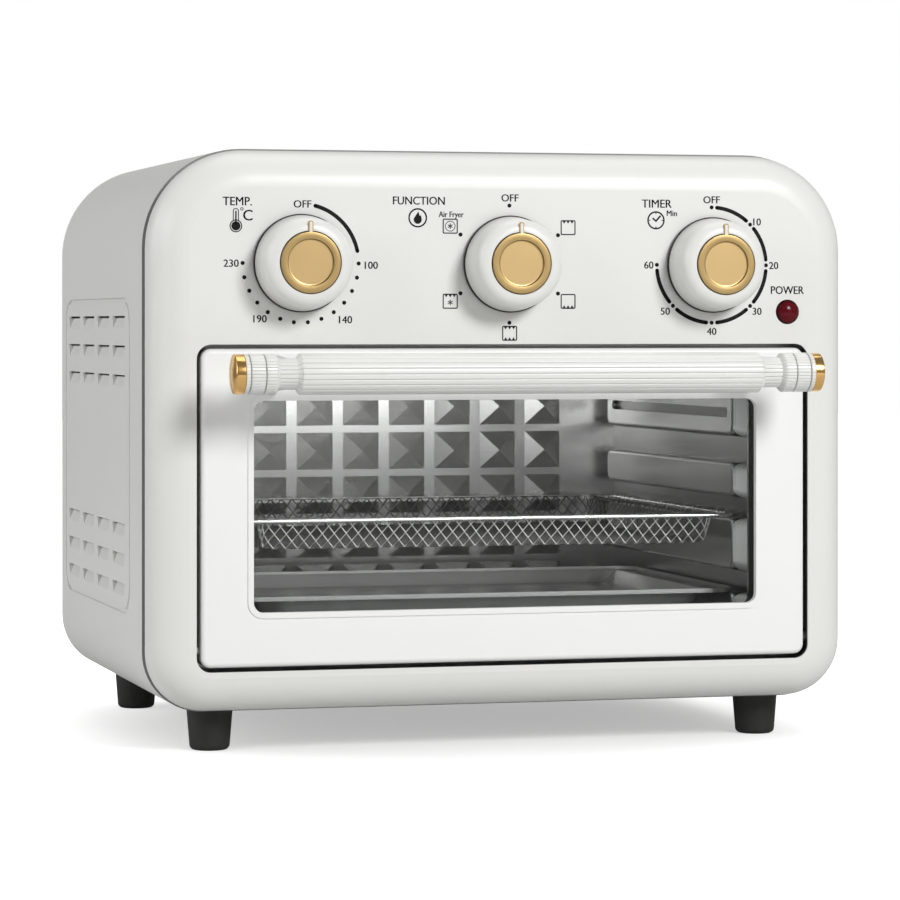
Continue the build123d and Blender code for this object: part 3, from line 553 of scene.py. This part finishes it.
def window_glass(colours):
    """Clear tempered pane: mostly see-through, with a reflection that grows at a slant."""
    finish = Finish("window_glass", Roughness=0.03, Base_Color=colours.glass)
    clear = finish.node("ShaderNodeBsdfTransparent", {}, {"Color": (0.97, 0.975, 0.975, 1)})
    slant = finish.node("ShaderNodeFresnel", {}, {"IOR": 1.13})
    sheen = Value(finish, finish.shader.outputs[0])
    finish.surface(finish.node("ShaderNodeMixShader", {}, {0: slant, 1: clear, 2: sheen}))
    return finish.material


# The door frame and the four heaters aren't listed: they keep their packed materials.
CARRIED = {
    painted_steel: ["outer_case", "rear_panel"],
    satin_plastic: ["front_bezel"],
    matt_rubber: ["foot_front_left", "foot_front_right", "foot_rear_left", "foot_rear_right",
                  "cord_gland"],
    plated_steel: ["rear_screws", "foot_screws", "shaft_nuts", "hinge_pins", "handle_screws",
                   "temp_shaft", "function_shaft", "timer_shaft", "fan_shaft"],
    zinc_plate: ["control_bracket", "hinge_bracket_left", "hinge_bracket_right", "fan_housing",
                 "fan_motor"],
    dark_moulding: ["thermostat", "function_switch", "timer_unit", "power_lamp_body"],
    red_lens: ["power_lamp_lens"],
    window_glass: ["door_glass"],
    seal_rubber: ["glass_gasket"],
    steel_upright: ["cavity_back_wall", "cavity_front_frame", "door_liner"],
    pad_steel: ["cavity_left_wall", "cavity_right_wall"],
    steel_flat: ["cavity_ceiling", "cavity_floor"],
    tray_steel: ["bake_tray"],
    fired_ceramic: ["heater_insulators"],
    cast_aluminium: ["fan_impeller"],
    bright_wire: ["basket_frame"],
}


def add_piece(name, form, body, finish, crease=35, nodes=()):
    """Turn a bmesh into a shown piece that rides on a body and may replace CAD nodes."""
    mesh = bpy.data.meshes.new(name)
    form.to_mesh(mesh)
    form.free()
    mesh.polygons.foreach_set("use_smooth", [True] * len(mesh.polygons))
    mesh.set_sharp_from_angle(angle=math.radians(crease))
    mesh.materials.append(finish)
    piece = bpy.data.objects.new(name, mesh)
    bpy.context.scene.collection.objects.link(piece)
    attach(piece, body)
    if nodes:
        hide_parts(*nodes)
    return piece


def turned(profile, steps=96):
    """A closed form spun about Y from points given as radius and depth, on the axis at both ends."""
    form = bmesh.new()
    points = [form.verts.new((radius, depth, 0)) for radius, depth in profile]
    edges = [form.edges.new(pair) for pair in zip(points, points[1:])]
    bmesh.ops.spin(form, geom=points + edges, axis=(0, 1, 0), cent=(0, 0, 0),
                   angle=math.tau, steps=steps, use_merge=True)
    bmesh.ops.remove_doubles(form, verts=form.verts, dist=1e-7)
    bmesh.ops.recalc_face_normals(form, faces=form.faces)
    return form


def rounded(centre, radius, start, end, steps=6):
    """Points on an arc, for a profile."""
    points = []
    for index in range(steps + 1):
        angle = math.radians(start + (end - start) * index / steps)
        points.append((centre[0] + radius * math.cos(angle),
                       centre[1] + radius * math.sin(angle)))
    return points


def moved(form, offset):
    """Shift a whole form."""
    bmesh.ops.translate(form, verts=form.verts, vec=offset)
    return form


def swung(form, degrees):
    """Turn a whole form about the upright axis."""
    bmesh.ops.rotate(form, verts=form.verts, cent=(0, 0, 0),
                     matrix=Matrix.Rotation(math.radians(degrees), 3, "Z"))
    return form


def raised(form, faces, depth):
    """Give flat faces a thickness along Y."""
    grown = bmesh.ops.extrude_face_region(form, geom=faces)
    fresh = [item for item in grown["geom"] if isinstance(item, bmesh.types.BMVert)]
    bmesh.ops.translate(form, verts=fresh, vec=(0, depth, 0))


def knob_profile(sizes):
    """The knob body's outline from its foot, painted dark as shade, to the seat of the disc."""
    outer = half_width("temp_knob")
    lip = sizes.foot_lip
    edge = sizes.knob_edge
    front = -KNOB_LENGTH
    step = 1 * MM
    foot = [(0, 0), (outer + lip, 0), (outer + lip, -FOOT), (outer - lip, -FOOT)]
    back = [(outer - 0.1 * MM, -FOOT - 0.3 * MM), (outer, -FOOT - 0.8 * MM)]
    side = rounded((outer - sizes.knob_taper - edge, front + edge), edge, 0, -90, 12)
    seat = [(DISC_SEAT + 0.2 * MM, front), (DISC_SEAT, front + 0.25 * MM),
            (DISC_SEAT, front + step), (0, front + step)]
    return foot + back + side + seat


def disc_profile():
    """The metal disc's outline: a flat ring with eased edges and a sunk middle."""
    ring_height = 1.6 * MM
    face_height = 0.6 * MM
    ease = 0.25 * MM
    ring = rounded((DISC_EDGE - ease, -ring_height + ease), ease, 0, -90, 4)
    lip = rounded((DISC_INNER + ease, -ring_height + ease), ease, -90, -180, 4)
    foot = [(DISC_INNER, -face_height - ease), (DISC_INNER - ease, -face_height),
            (DISC_INNER - 3 * ease, -face_height)]
    return [(0, 0), (DISC_EDGE, 0)] + ring + lip + foot + [(0, -face_height)]


def slot_form(width, length, depth, front, bottom):
    """A flat bar with a rounded upper end, standing at a place in front of the panel."""
    form = bmesh.new()
    half = width / 2
    top = rounded((0, bottom + length - half), half, 0, 180, 10)
    points = [(half, bottom)] + top + [(-half, bottom)]
    face = form.faces.new([form.verts.new((x, front, z)) for x, z in points])
    raised(form, [face], depth)
    bmesh.ops.recalc_face_normals(form, faces=form.faces)
    return form


def pointer_forms(name):
    """A pointer's gold rim, and its white fill that stands a hair prouder."""
    front = low(f"{name}_disc").y
    bottom = DIALS[name].z + 14.2 * MM
    hair = 0.1 * MM
    rim = slot_form(width=2.3 * MM, length=5.6 * MM, depth=2.6 * MM, front=front + hair,
                    bottom=bottom)
    fill = slot_form(width=1.3 * MM, length=5.0 * MM, depth=2.0 * MM, front=front,
                     bottom=bottom + hair)
    return [moved(form, (DIALS[name].x, 0, 0)) for form in (rim, fill)]


class OVEN_OT_knobs(bpy.types.Operator):
    """Turn the three knobs with their metal discs and pointers"""

    bl_idname = "oven.knobs"
    bl_label = "Knobs"

    def execute(self, context):
        for name in DIALS:
            self.knob(name, context.scene.oven_sizes, context.scene.oven_colours)
        return {"FINISHED"}

    def knob(self, name, sizes, colours):
        """One knob: its body, disc and pointer."""
        control = f"{name}_control"
        dial = DIALS[name]
        white = knob_plastic(colours, name)
        gold = turned_gold(name)
        body = moved(turned(knob_profile(sizes)), (dial.x, high(f"{name}_knob").y, dial.z))
        add_piece(f"{name}_knob_body", body, control, white, nodes=[f"{name}_knob"])
        disc = moved(turned(disc_profile()), (dial.x, high(f"{name}_disc").y, dial.z))
        add_piece(f"{name}_knob_disc", disc, control, gold, crease=50, nodes=[f"{name}_disc"])
        rim, fill = pointer_forms(name)
        add_piece(f"{name}_pointer_rim", rim, control, gold)
        add_piece(f"{name}_pointer_fill", fill, control, white)


def on_reeds(vert, x, radius, reeds, depth):
    """Put a point of a reeded bar at a place along X, keeping its angle."""
    angle = math.atan2(vert.co.z, vert.co.y)
    turn = (angle / math.tau * reeds) % 1
    size = radius - depth * (2 * turn - 1) ** 8
    vert.co = Vector((x, size * math.cos(angle), size * math.sin(angle)))


def reeded_bar(stations, reeds):
    """A closed reeded bar, extruded through stations of place, radius and groove depth."""
    points_a_reed = 12
    form = bmesh.new()
    bmesh.ops.create_circle(form, segments=reeds * points_a_reed, radius=1)
    for vert in form.verts:
        vert.co = Vector((0, vert.co.x, vert.co.y))
    ring = form.edges[:]
    first = ring
    for index, (x, radius, depth) in enumerate(stations):
        if index:
            grown = bmesh.ops.extrude_edge_only(form, edges=ring)["geom"]
            fresh = {item for item in grown if isinstance(item, bmesh.types.BMVert)}
            ring = [item for item in grown if isinstance(item, bmesh.types.BMEdge)
                    and set(item.verts) <= fresh]
        for vert in {vert for edge in ring for vert in edge.verts}:
            on_reeds(vert, x, radius, reeds, depth)
    bmesh.ops.holes_fill(form, edges=first + ring, sides=0)
    bmesh.ops.recalc_face_normals(form, faces=form.faces)
    return form


def mirrored(stations):
    """The same stations on the left, still listed from left to right."""
    return [(-x, radius, depth) for x, radius, depth in reversed(stations)]


def bar_stations(sizes):
    """The bar's stations: even steps along it, and a shoulder and a neck at each end."""
    steps = 16
    ease = 0.5 * MM
    soft = 0.1 * MM
    depth = sizes.reed_depth
    radius = sizes.bar_radius
    neck = sizes.neck_radius
    end = high("handle_bar").x
    start = end - sizes.neck_run
    slope_end = start + sizes.shoulder
    right = [(start - ease, radius, depth), (start + soft, radius - soft, depth),
             (start + ease, radius - 0.6 * MM, depth),
             (slope_end - 0.3 * MM, neck + soft, depth), (slope_end, neck, depth),
             (end + ease, neck, depth)]
    length = 2 * (start - ease)
    along = [(length * (step / steps - 0.5), radius, depth) for step in range(1, steps)]
    return mirrored(right) + along + right


def collar_stations(sizes):
    """The right collar's stations: a shoulder, two reeded rings and a plain disc by the cap."""
    ease = 0.3 * MM
    edge = 0.2 * MM
    depth = sizes.reed_depth
    radius = sizes.collar_radius
    floor = radius - 1.6 * MM
    start = high("handle_bar").x - 0.4 * MM
    slope_end = start + sizes.shoulder
    end = low("handle_cap_right").x
    disc = end - sizes.collar_disc
    ring = disc - sizes.collar_ring
    stations = [(start, sizes.neck_radius, depth), (start + 1.3 * MM, radius - 0.5 * MM, depth),
                (slope_end - 0.5 * MM, radius - 0.1 * MM, depth), (slope_end, radius, depth)]
    for groove_end, depth_after in ((ring, depth), (disc, 0)):
        groove = groove_end - sizes.collar_line
        stations += [(groove - ease, radius, depth), (groove, radius - ease, depth),
                     (groove, floor, 0), (groove_end, floor, 0),
                     (groove_end, radius - ease, depth), (groove_end + ease, radius, depth_after)]
    return stations + [(end - edge, radius, 0), (end, radius - edge, 0)]


def cap_profile(dome):
    """A cap's outline: an eased back edge, a rounded front edge and a domed face."""
    ease = 0.3 * MM
    edge = 0.5 * MM
    domed_points = 7
    radius = (high("handle_cap_left").z - low("handle_cap_left").z) / 2
    length = 2 * half_width("handle_cap_left")
    back = [(0, 0), (radius - ease, 0), (radius, ease)]
    front = rounded((radius - edge, length - ease - edge), edge, 0, 80)
    shares = [0.15 * step for step in reversed(range(domed_points))]
    face = [(share * radius, length - ease + dome * (1 - share ** 2)) for share in shares]
    return back + front + face


def arm_form(place):
    """One post from the grip to the door, wider and taller where it meets the door."""
    width = 8.4 * MM
    height = 13 * MM
    form = bmesh.new()
    bmesh.ops.create_cube(form, size=1)
    bmesh.ops.scale(form, verts=form.verts, vec=(width, PANEL_FRONT - GRIP.y, height))
    door_end = [vert for vert in form.verts if vert.co.y > 0]
    bmesh.ops.scale(form, verts=door_end, vec=(1.25, 1, 1.35))
    bmesh.ops.bevel(form, geom=form.edges, offset=1.6 * MM, segments=4, profile=0.5,
                    affect="EDGES", material=-1, offset_type="OFFSET", clamp_overlap=True)
    return moved(form, (place.x, (PANEL_FRONT + GRIP.y) / 2, GRIP.z))


class OVEN_OT_handle(bpy.types.Operator):
    """Model the reeded handle with its necks, collars, caps and posts"""

    bl_idname = "oven.handle"
    bl_label = "Handle"

    def execute(self, context):
        sizes = context.scene.oven_sizes
        colours = context.scene.oven_colours
        white = reeded_plastic(colours, "handle_plastic", sizes.reeds)
        collar_white = reeded_plastic(colours, "collar_plastic", sizes.collar_reeds)
        gold = polished_gold(colours)
        bar = moved(reeded_bar(bar_stations(sizes), sizes.reeds), (0, GRIP.y, GRIP.z))
        add_piece("handle_grip", bar, "door", white, crease=40, nodes=["handle_bar"])
        for name in ("left", "right"):
            add_piece(f"handle_ring_{name}", self.collar(name, sizes), "door", collar_white,
                      crease=40, nodes=[f"handle_collar_{name}"])
            add_piece(f"handle_end_{name}", self.cap(name, sizes), "door", gold,
                      nodes=[f"handle_cap_{name}"])
            add_piece(f"handle_arm_{name}", arm_form(middle(f"handle_post_{name}")), "door",
                      white, nodes=[f"handle_post_{name}"])
        return {"FINISHED"}

    def collar(self, name, sizes):
        """The collar on one side."""
        stations = collar_stations(sizes)
        if name == "left":
            stations = mirrored(stations)
        return moved(reeded_bar(stations, sizes.collar_reeds), (0, GRIP.y, GRIP.z))

    def cap(self, name, sizes):
        """The cap on one side, its domed face outwards."""
        form = swung(turned(cap_profile(sizes.cap_dome), 72), -90)
        inner_face = low("handle_cap_right").x
        if name == "left":
            swung(form, 180)
            inner_face = -inner_face
        return moved(form, (inner_face, GRIP.y, GRIP.z))


class Ink:
    """Printed marks of one dial, gathered in one thin form on the panel."""

    def __init__(self, name, sizes):
        self.name = name
        self.form = bmesh.new()
        self.centre = DIALS[name]
        self.height = sizes.print_height
        self.dots = sizes.dot_ring / MM
        self.band = sizes.arc_width / MM

    def outline(self, points):
        """A filled shape from points in millimetres, right and up from the dial's centre."""
        verts = [self.form.verts.new((self.centre.x + x * MM, PANEL_FRONT,
                                      self.centre.z + z * MM)) for x, z in points]
        raised(self.form, [self.form.faces.new(verts)], -self.height)

    def dot(self, x, z, radius, steps=24):
        """A filled circle."""
        self.outline(rounded((x, z), radius, 0, 360 * (steps - 1) / steps, steps - 1))

    def arc(self, x, z, radius, width, start, end, steps=24):
        """A band along part of a circle, with square ends."""
        outer = rounded((x, z), radius + width / 2, start, end, steps)
        inner = rounded((x, z), radius - width / 2, start, end, steps)
        for index in range(steps):
            self.outline([outer[index], outer[index + 1], inner[index + 1], inner[index]])

    def stroke(self, start, end, width):
        """A straight line."""
        along = Vector((end[0] - start[0], end[1] - start[1])).normalized() * width / 2
        side = Vector((-along.y, along.x))
        first = Vector(start) - along
        last = Vector(end) + along
        self.outline([first + side, last + side, last - side, first - side])

    def ray(self, x, z, degrees, start, end, width):
        """A line that points away from a centre."""
        along = Vector((math.cos(math.radians(degrees)), math.sin(math.radians(degrees))))
        self.stroke((x + along.x * start, z + along.y * start),
                    (x + along.x * end, z + along.y * end), width)

    def ring(self, x, z, radius, width):
        """A circle's outline."""
        self.arc(x, z, radius, width, 0, 360, 40)

    def frame(self, x, z, half_width, half_height, width):
        """A square's outline with eased corners."""
        ease = 0.5
        for side in (-1, 1):
            self.stroke((x + side * half_width, z - half_height + ease),
                        (x + side * half_width, z + half_height - ease), width)
            self.stroke((x - half_width + ease, z + side * half_height),
                        (x + half_width - ease, z + side * half_height), width)
        for turn, (sx, sz) in enumerate(((1, 1), (-1, 1), (-1, -1), (1, -1))):
            self.arc(x + sx * (half_width - ease), z + sz * (half_height - ease), ease, width,
                     90 * turn, 90 * turn + 90, 6)

    def words(self, text, x, z, cap, width=None):
        """Lettering centred at a place, with its capitals' height and its width."""
        letter_height = 0.729
        enlarged = 1.27
        thickening = 0.09 * MM
        mesh = lettering(text)
        lowest = min(vert.co.x for vert in mesh.vertices)
        highest = max(vert.co.x for vert in mesh.vertices)
        rise = enlarged * cap * MM / letter_height
        spread = width * MM / (highest - lowest) if width else rise
        middle_x = (lowest + highest) / 2
        for nudge in (-thickening, thickening):
            before = set(self.form.faces)
            self.form.from_mesh(mesh)
            fresh = [face for face in self.form.faces if face not in before]
            for vert in {vert for face in fresh for vert in face.verts}:
                flat = vert.co.copy()
                right = x * MM + (flat.x - middle_x) * spread + nudge
                up = z * MM + (flat.y - letter_height / 2) * rise
                vert.co = Vector((self.centre.x + right, PANEL_FRONT, self.centre.z + up))
            raised(self.form, fresh, -self.height)

    def labels(self, *labels):
        """The scale's words and numbers, all of one height."""
        for text, x, z in labels:
            self.words(text, x, z, cap=2.9)

    def spot(self, clockwise, radius=1.0):
        """A dot on the ring, at an angle clockwise from the top."""
        angle = math.radians(90 - clockwise)
        self.dot(self.dots * math.cos(angle), self.dots * math.sin(angle), radius)

    def sweep(self, start, end):
        """A round-ended band on the ring, between angles clockwise from the top."""
        self.arc(0, 0, self.dots, self.band, 90 - end, 90 - start)
        self.spot(start, self.band / 2)
        self.spot(end, self.band / 2)

    def finish(self, finish):
        """Make the marks a piece on the cabinet."""
        bmesh.ops.recalc_face_normals(self.form, faces=self.form.faces)
        add_piece(f"{self.name}_print", self.form, "cabinet", finish)


def lettering(text):
    """A flat mesh of words in Blender's own letters."""
    curve = bpy.data.curves.new("words", "FONT")
    curve.body = text
    curve.align_x = "CENTER"
    curve.resolution_u = 3
    holder = bpy.data.objects.new("words", curve)
    bpy.context.scene.collection.objects.link(holder)
    bpy.context.view_layer.update()
    graph = bpy.context.evaluated_depsgraph_get()
    mesh = bpy.data.meshes.new_from_object(holder.evaluated_get(graph))
    bpy.data.objects.remove(holder)
    return mesh


def chamber_icon(ink, x, z, top=False, bottom=False, fan=False):
    """A chamber icon: a square with heater marks above or below and a fan in the middle."""
    half_height = 3.35
    ink.frame(x, z, half_width=3.5, half_height=half_height, width=0.55)
    for side, wanted in ((1, top), (-1, bottom)):
        if wanted:
            for step in (-1, 0, 1):
                heater_mark(ink, x + step * 2.0, z + side * (half_height - 0.3), side)
    if fan:
        fan_icon(ink, x, z - (0.6 if top else 0))


def heater_mark(ink, x, edge, side):
    """A small wedge that points into the icon's square."""
    half = 0.75
    points = [(x - half, edge), (x + half, edge), (x, edge - side * 1.15)]
    ink.outline(points if side > 0 else points[::-1])


def fan_icon(ink, x, z):
    """A small six-bladed fan."""
    for turn in range(6):
        ink.ray(x, z, 30 + turn * 60, start=0.3, end=1.15, width=0.42)


def thermometer(ink, x, z):
    """A thermometer, its bulb's centre at a place."""
    tube = 1.25
    line = 0.42
    top = z + 7
    ink.dot(x, z, 2.2)
    ink.ring(x, z, 2.8, 0.5)
    for side in (-tube, tube):
        ink.stroke((x + side, z + 2.6), (x + side, top), line)
    ink.arc(x, top, tube, line, 0, 180, 10)
    ink.stroke((x, z + 1), (x, top - 0.2), 0.7)


def flame(ink, x, z):
    """A plain drop of flame."""
    tip = [(1.6, 2.2), (1.0, 1.8), (0.3, 4.0), (-1.0, 2.0)]
    ink.outline(rounded((x, z), 2.0, -200, 20, 14) + [(x + right, z + up) for right, up in tip])


def clock(ink, x, z):
    """A clock's face with four ticks and two hands."""
    ink.ring(x, z, 4.1, 0.75)
    for turn in range(4):
        ink.ray(x, z, turn * 90, start=3.2, end=3.9, width=0.45)
    pivot = (x, z - 0.4)
    ink.stroke((x - 1.4, z + 0.8), pivot, 0.8)
    ink.stroke(pivot, (x + 2.1, z + 2.0), 0.8)


class OVEN_OT_panel_print(bpy.types.Operator):
    """Print the scales, names and icons round the knobs"""

    bl_idname = "oven.panel_print"
    bl_label = "Panel print"

    def execute(self, context):
        finish = panel_ink(context.scene.oven_colours)
        for name, marks in (("temp", self.temp), ("function", self.function),
                            ("timer", self.timer)):
            ink = Ink(name, context.scene.oven_sizes)
            marks(ink)
            ink.finish(finish)
        return {"FINISHED"}

    def temp(self, ink):
        """Temperature scale."""
        gaps = 13
        for step in range(gaps + 1):
            ink.spot(90 + step * 180 / gaps)
        ink.sweep(14.5, 77.8)
        ink.labels(("OFF", 0.8, 28.4), ("100", 34.6, -0.7), ("140", 21.9, -26.8),
                   ("190", -19.9, -26.4), ("230", -33.9, 0))
        ink.words("TEMP.", -30.9, 29.5, cap=3.4, width=14)
        thermometer(ink, -31.6, 17.6)
        ink.words("C", -25.8, 22.9, cap=4.2)
        ink.ring(-28.7, 25.7, 0.6, 0.35)

    def function(self, ink):
        """Function marks."""
        for step in range(6):
            ink.spot(step * 60)
        ink.labels(("OFF", 0.3, 32.2))
        chamber_icon(ink, 29.7, 17.9, top=True)
        chamber_icon(ink, 29.7, -18.0, bottom=True)
        chamber_icon(ink, 0.1, -33.5, top=True, bottom=True)
        chamber_icon(ink, -29.7, -18.0, top=True, fan=True)
        chamber_icon(ink, -29.7, 18.2, fan=True)
        ink.ring(-29.7, 18.2, 2.4, 0.35)
        ink.words("Air Fryer", -29.2, 24.0, cap=2.3, width=12.4)
        ink.words("FUNCTION", -45.3, 30.5, cap=3.2, width=25.7)
        ink.ring(-45.9, 22.1, 4.3, 0.75)
        flame(ink, -45.9, 21.2)

    def timer(self, ink):
        """Timer scale."""
        pitch = 45
        gap = 5.6
        for step in range(7):
            ink.spot(step * pitch)
            if step < 6:
                ink.sweep(step * pitch + gap, (step + 1) * pitch - gap)
        ink.labels(("OFF", 0, 32.2), ("10", 23.7, 21.5), ("20", 32.4, 0), ("30", 23.7, -22.6),
                   ("40", 0, -32.5), ("50", -24, -22.6), ("60", -32.5, 0))
        ink.words("TIMER", -28.4, 30.1, cap=3.3, width=15.3)
        clock(ink, -28.8, 21.8)
        ink.words("Min", -20.6, 25.4, cap=2.3, width=5.2)
        ink.words("POWER", 39.6, -12.1, cap=3.2, width=17.2)


class OVEN_OT_finishes(bpy.types.Operator):
    """Give every carried-over part its finish"""

    bl_idname = "oven.finishes"
    bl_label = "Finishes"

    def execute(self, context):
        for maker, nodes in CARRIED.items():
            finish = maker(context.scene.oven_colours)
            for node in nodes:
                NODES[node].material_slots[0].material = finish
        return {"FINISHED"}


def mesh_sheet(reaches, pitch):
    """A flat sheet of diamond mesh, trimmed at its reaches from the middle."""
    step = pitch / math.sqrt(2)
    count = int(2 * max(reaches) * math.sqrt(2) / step / 2) * 2
    form = bmesh.new()
    bmesh.ops.create_grid(form, x_segments=count, y_segments=count, size=count * step / 2)
    swung(form, 45)
    bmesh.ops.scale(form, verts=form.verts, vec=(1, 1.25, 1))
    for axis, reach in enumerate(reaches):
        for side in (-1, 1):
            normal = Vector((0, 0, 0))
            normal[axis] = side
            geom = form.verts[:] + form.edges[:] + form.faces[:]
            bmesh.ops.bisect_plane(form, geom=geom, plane_co=normal * reach, plane_no=normal,
                                   clear_outer=True)
    return form


def folded_up(form, edges, slope, drop):
    """Fold what lies past a rectangle up into four leaning walls."""
    fall = math.hypot(slope, drop)
    for vert in form.verts:
        place = vert.co
        over = [max(0, abs(place[axis]) - edges[axis]) for axis in (0, 1)]
        for axis in (0, 1):
            side = 1 if place[axis] > 0 else -1
            place[axis] = side * (min(abs(place[axis]), edges[axis]) + slope * over[axis] / fall)
        place.z = min(1, max(over) / fall) * drop
    return form


class OVEN_OT_basket(bpy.types.Operator):
    """Weave the basket's mesh tub"""

    bl_idname = "oven.basket"
    bl_label = "Basket"

    def execute(self, context):
        sizes = context.scene.oven_sizes
        size = high("basket_mesh") - low("basket_mesh")
        centre = middle("basket_mesh")
        slope = sizes.tub_slope
        edges = (size.x / 2 - slope, size.y / 2 - slope)
        reaches = [edge + math.hypot(slope, size.z) for edge in edges]
        form = folded_up(mesh_sheet(reaches, sizes.mesh_pitch), edges, slope, size.z)
        moved(form, (centre.x, centre.y, low("basket_mesh").z + sizes.wire))
        piece = add_piece("basket_weave", form, "basket", woven_wire(), nodes=["basket_mesh"])
        wires = piece.modifiers.new("wire", "WIREFRAME")
        wires.thickness = sizes.wire
        wires.use_replace = True
        return {"FINISHED"}


def floor_white():
    """A white that the oven still shades close by, and that shows as the background far off."""
    finish = Finish("floor_white", Roughness=0.9, Base_Color=(0.7, 0.7, 0.7, 1))
    across, depth = finish.parts()[:2]
    reach = (across * across + depth * depth) ** 0.5
    glow_share = finish.node("ShaderNodeMapRange", {"interpolation_type": "SMOOTHSTEP"}, {
        "Value": reach, "From Min": 0.12, "From Max": 0.34, "To Min": 0.42, "To Max": 1.3})
    seen = finish.node("ShaderNodeLightPath")
    glow = finish.node("ShaderNodeEmission", {}, {"Strength": glow_share * seen})
    lit = Value(finish, finish.shader.outputs[0])
    finish.surface(finish.node("ShaderNodeAddShader", {}, {0: lit, 1: glow}))
    return finish.material


class OVEN_OT_stage(bpy.types.Operator):
    """Set the floor, the lights and the camera"""

    bl_idname = "oven.stage"
    bl_label = "Stage"

    def execute(self, context):
        self.floor()
        self.world(context.scene)
        self.lights()
        self.camera(context.scene)
        context.scene.view_settings.view_transform = "Standard"
        return {"FINISHED"}

    def floor(self):
        """A plain square floor."""
        form = bmesh.new()
        bmesh.ops.create_grid(form, x_segments=1, y_segments=1, size=6)
        mesh = bpy.data.meshes.new("floor")
        form.to_mesh(mesh)
        form.free()
        mesh.materials.append(floor_white())
        floor = bpy.data.objects.new("floor", mesh)
        bpy.context.scene.collection.objects.link(floor)

    def world(self, scene):
        """White surroundings for what the eye sees, softer ones for the light they give."""
        world = bpy.data.worlds.new("surroundings")
        scene.world = world
        world.use_nodes = True
        tree = world.node_tree
        tree.nodes.clear()
        output = tree.nodes.new("ShaderNodeOutputWorld")
        background = tree.nodes.new("ShaderNodeBackground")
        background.inputs["Color"].default_value = (1, 1, 1, 1)
        path = tree.nodes.new("ShaderNodeLightPath")
        strength = tree.nodes.new("ShaderNodeMapRange")
        strength.inputs["To Min"].default_value = 0.23
        strength.inputs["To Max"].default_value = 1.0
        tree.links.new(path.outputs["Is Camera Ray"], strength.inputs["Value"])
        tree.links.new(strength.outputs[0], background.inputs["Strength"])
        tree.links.new(background.outputs[0], output.inputs["Surface"])

    def lights(self):
        """Soft boxes: front right, beside the case, above and front left, and one in the chamber."""
        oven = (0, 0, 0.15)
        self.lamp("key_light", (0.9, -2.25, 1.35), oven, size=0.7, power=44)
        self.lamp("fill_light", (-2.2, 0.6, 0.8), oven, size=1.2, power=12)
        self.lamp("top_light", (0.2, 0.4, 2.4), oven, size=1.6, power=12)
        self.lamp("edge_light", (-2.1, -0.85, 0.9), oven, size=1.0, power=9)
        front_top = (0, low("cavity_floor").y + 12 * MM, high("cavity_right_wall").z - 22 * MM)
        rear = (0, high("cavity_floor").y, 0.105)
        inside = self.lamp("chamber_light", front_top, rear, size=0.2, power=0.05)
        inside.data.shape = "RECTANGLE"
        inside.data.size_y = 0.012
        inside.visible_camera = False

    def lamp(self, name, place, target, size, power):
        """A square soft box that faces a target."""
        lamp = bpy.data.lights.new(name, "AREA")
        lamp.size = size
        lamp.energy = power
        holder = bpy.data.objects.new(name, lamp)
        bpy.context.scene.collection.objects.link(holder)
        holder.location = place
        aim = (Vector(target) - Vector(place)).to_track_quat("-Z", "Y")
        holder.rotation_euler = aim.to_euler()
        return holder

    def camera(self, scene):
        """A level, long-lensed view, turned to the right."""
        turn = 15.15
        left = 486.67 * MM
        away = 1687.37 * MM
        height = 205.8 * MM
        lens = bpy.data.cameras.new("camera")
        lens.sensor_width = 36
        lens.lens = 145.0
        lens.shift_y = -0.1395
        lens.clip_start = 0.05
        lens.clip_end = 50
        holder = bpy.data.objects.new("camera", lens)
        bpy.context.scene.collection.objects.link(holder)
        holder.location = (-left, PANEL_FRONT - away, height)
        holder.rotation_euler = (math.radians(90), 0, math.radians(-turn))
        scene.camera = holder


class OVEN_PT_panel(bpy.types.Panel):
    """Lists the oven's steps in the sidebar"""

    bl_idname = "OVEN_PT_panel"
    bl_label = "Air fryer toaster oven"
    bl_space_type = "VIEW_3D"
    bl_region_type = "UI"
    bl_category = "Oven"

    def draw(self, context):
        for group in (context.scene.oven_sizes, context.scene.oven_colours):
            for name in group.bl_rna.properties.keys():
                if name not in ("rna_type", "name"):
                    self.layout.prop(group, name)
        for step in STEPS:
            self.layout.operator(step.bl_idname)


STEPS = (OVEN_OT_finishes, OVEN_OT_knobs, OVEN_OT_panel_print, OVEN_OT_handle, OVEN_OT_basket,
         OVEN_OT_stage)
CLASSES = (OvenSizes, OvenColours, *STEPS, OVEN_PT_panel)


def register():
    """Register the classes and hang the properties on the scene."""
    for item in CLASSES:
        bpy.utils.register_class(item)
    bpy.types.Scene.oven_sizes = bpy.props.PointerProperty(type=OvenSizes)
    bpy.types.Scene.oven_colours = bpy.props.PointerProperty(type=OvenColours)


def unregister():
    """Take the properties and the classes away again."""
    del bpy.types.Scene.oven_colours
    del bpy.types.Scene.oven_sizes
    for item in reversed(CLASSES):
        bpy.utils.unregister_class(item)


def main():
    """Build the oven's looks step by step."""
    register()
    bpy.ops.oven.finishes()
    bpy.ops.oven.knobs()
    bpy.ops.oven.panel_print()
    bpy.ops.oven.handle()
    bpy.ops.oven.basket()
    bpy.ops.oven.stage()


if __name__ == "__main__":
    main()
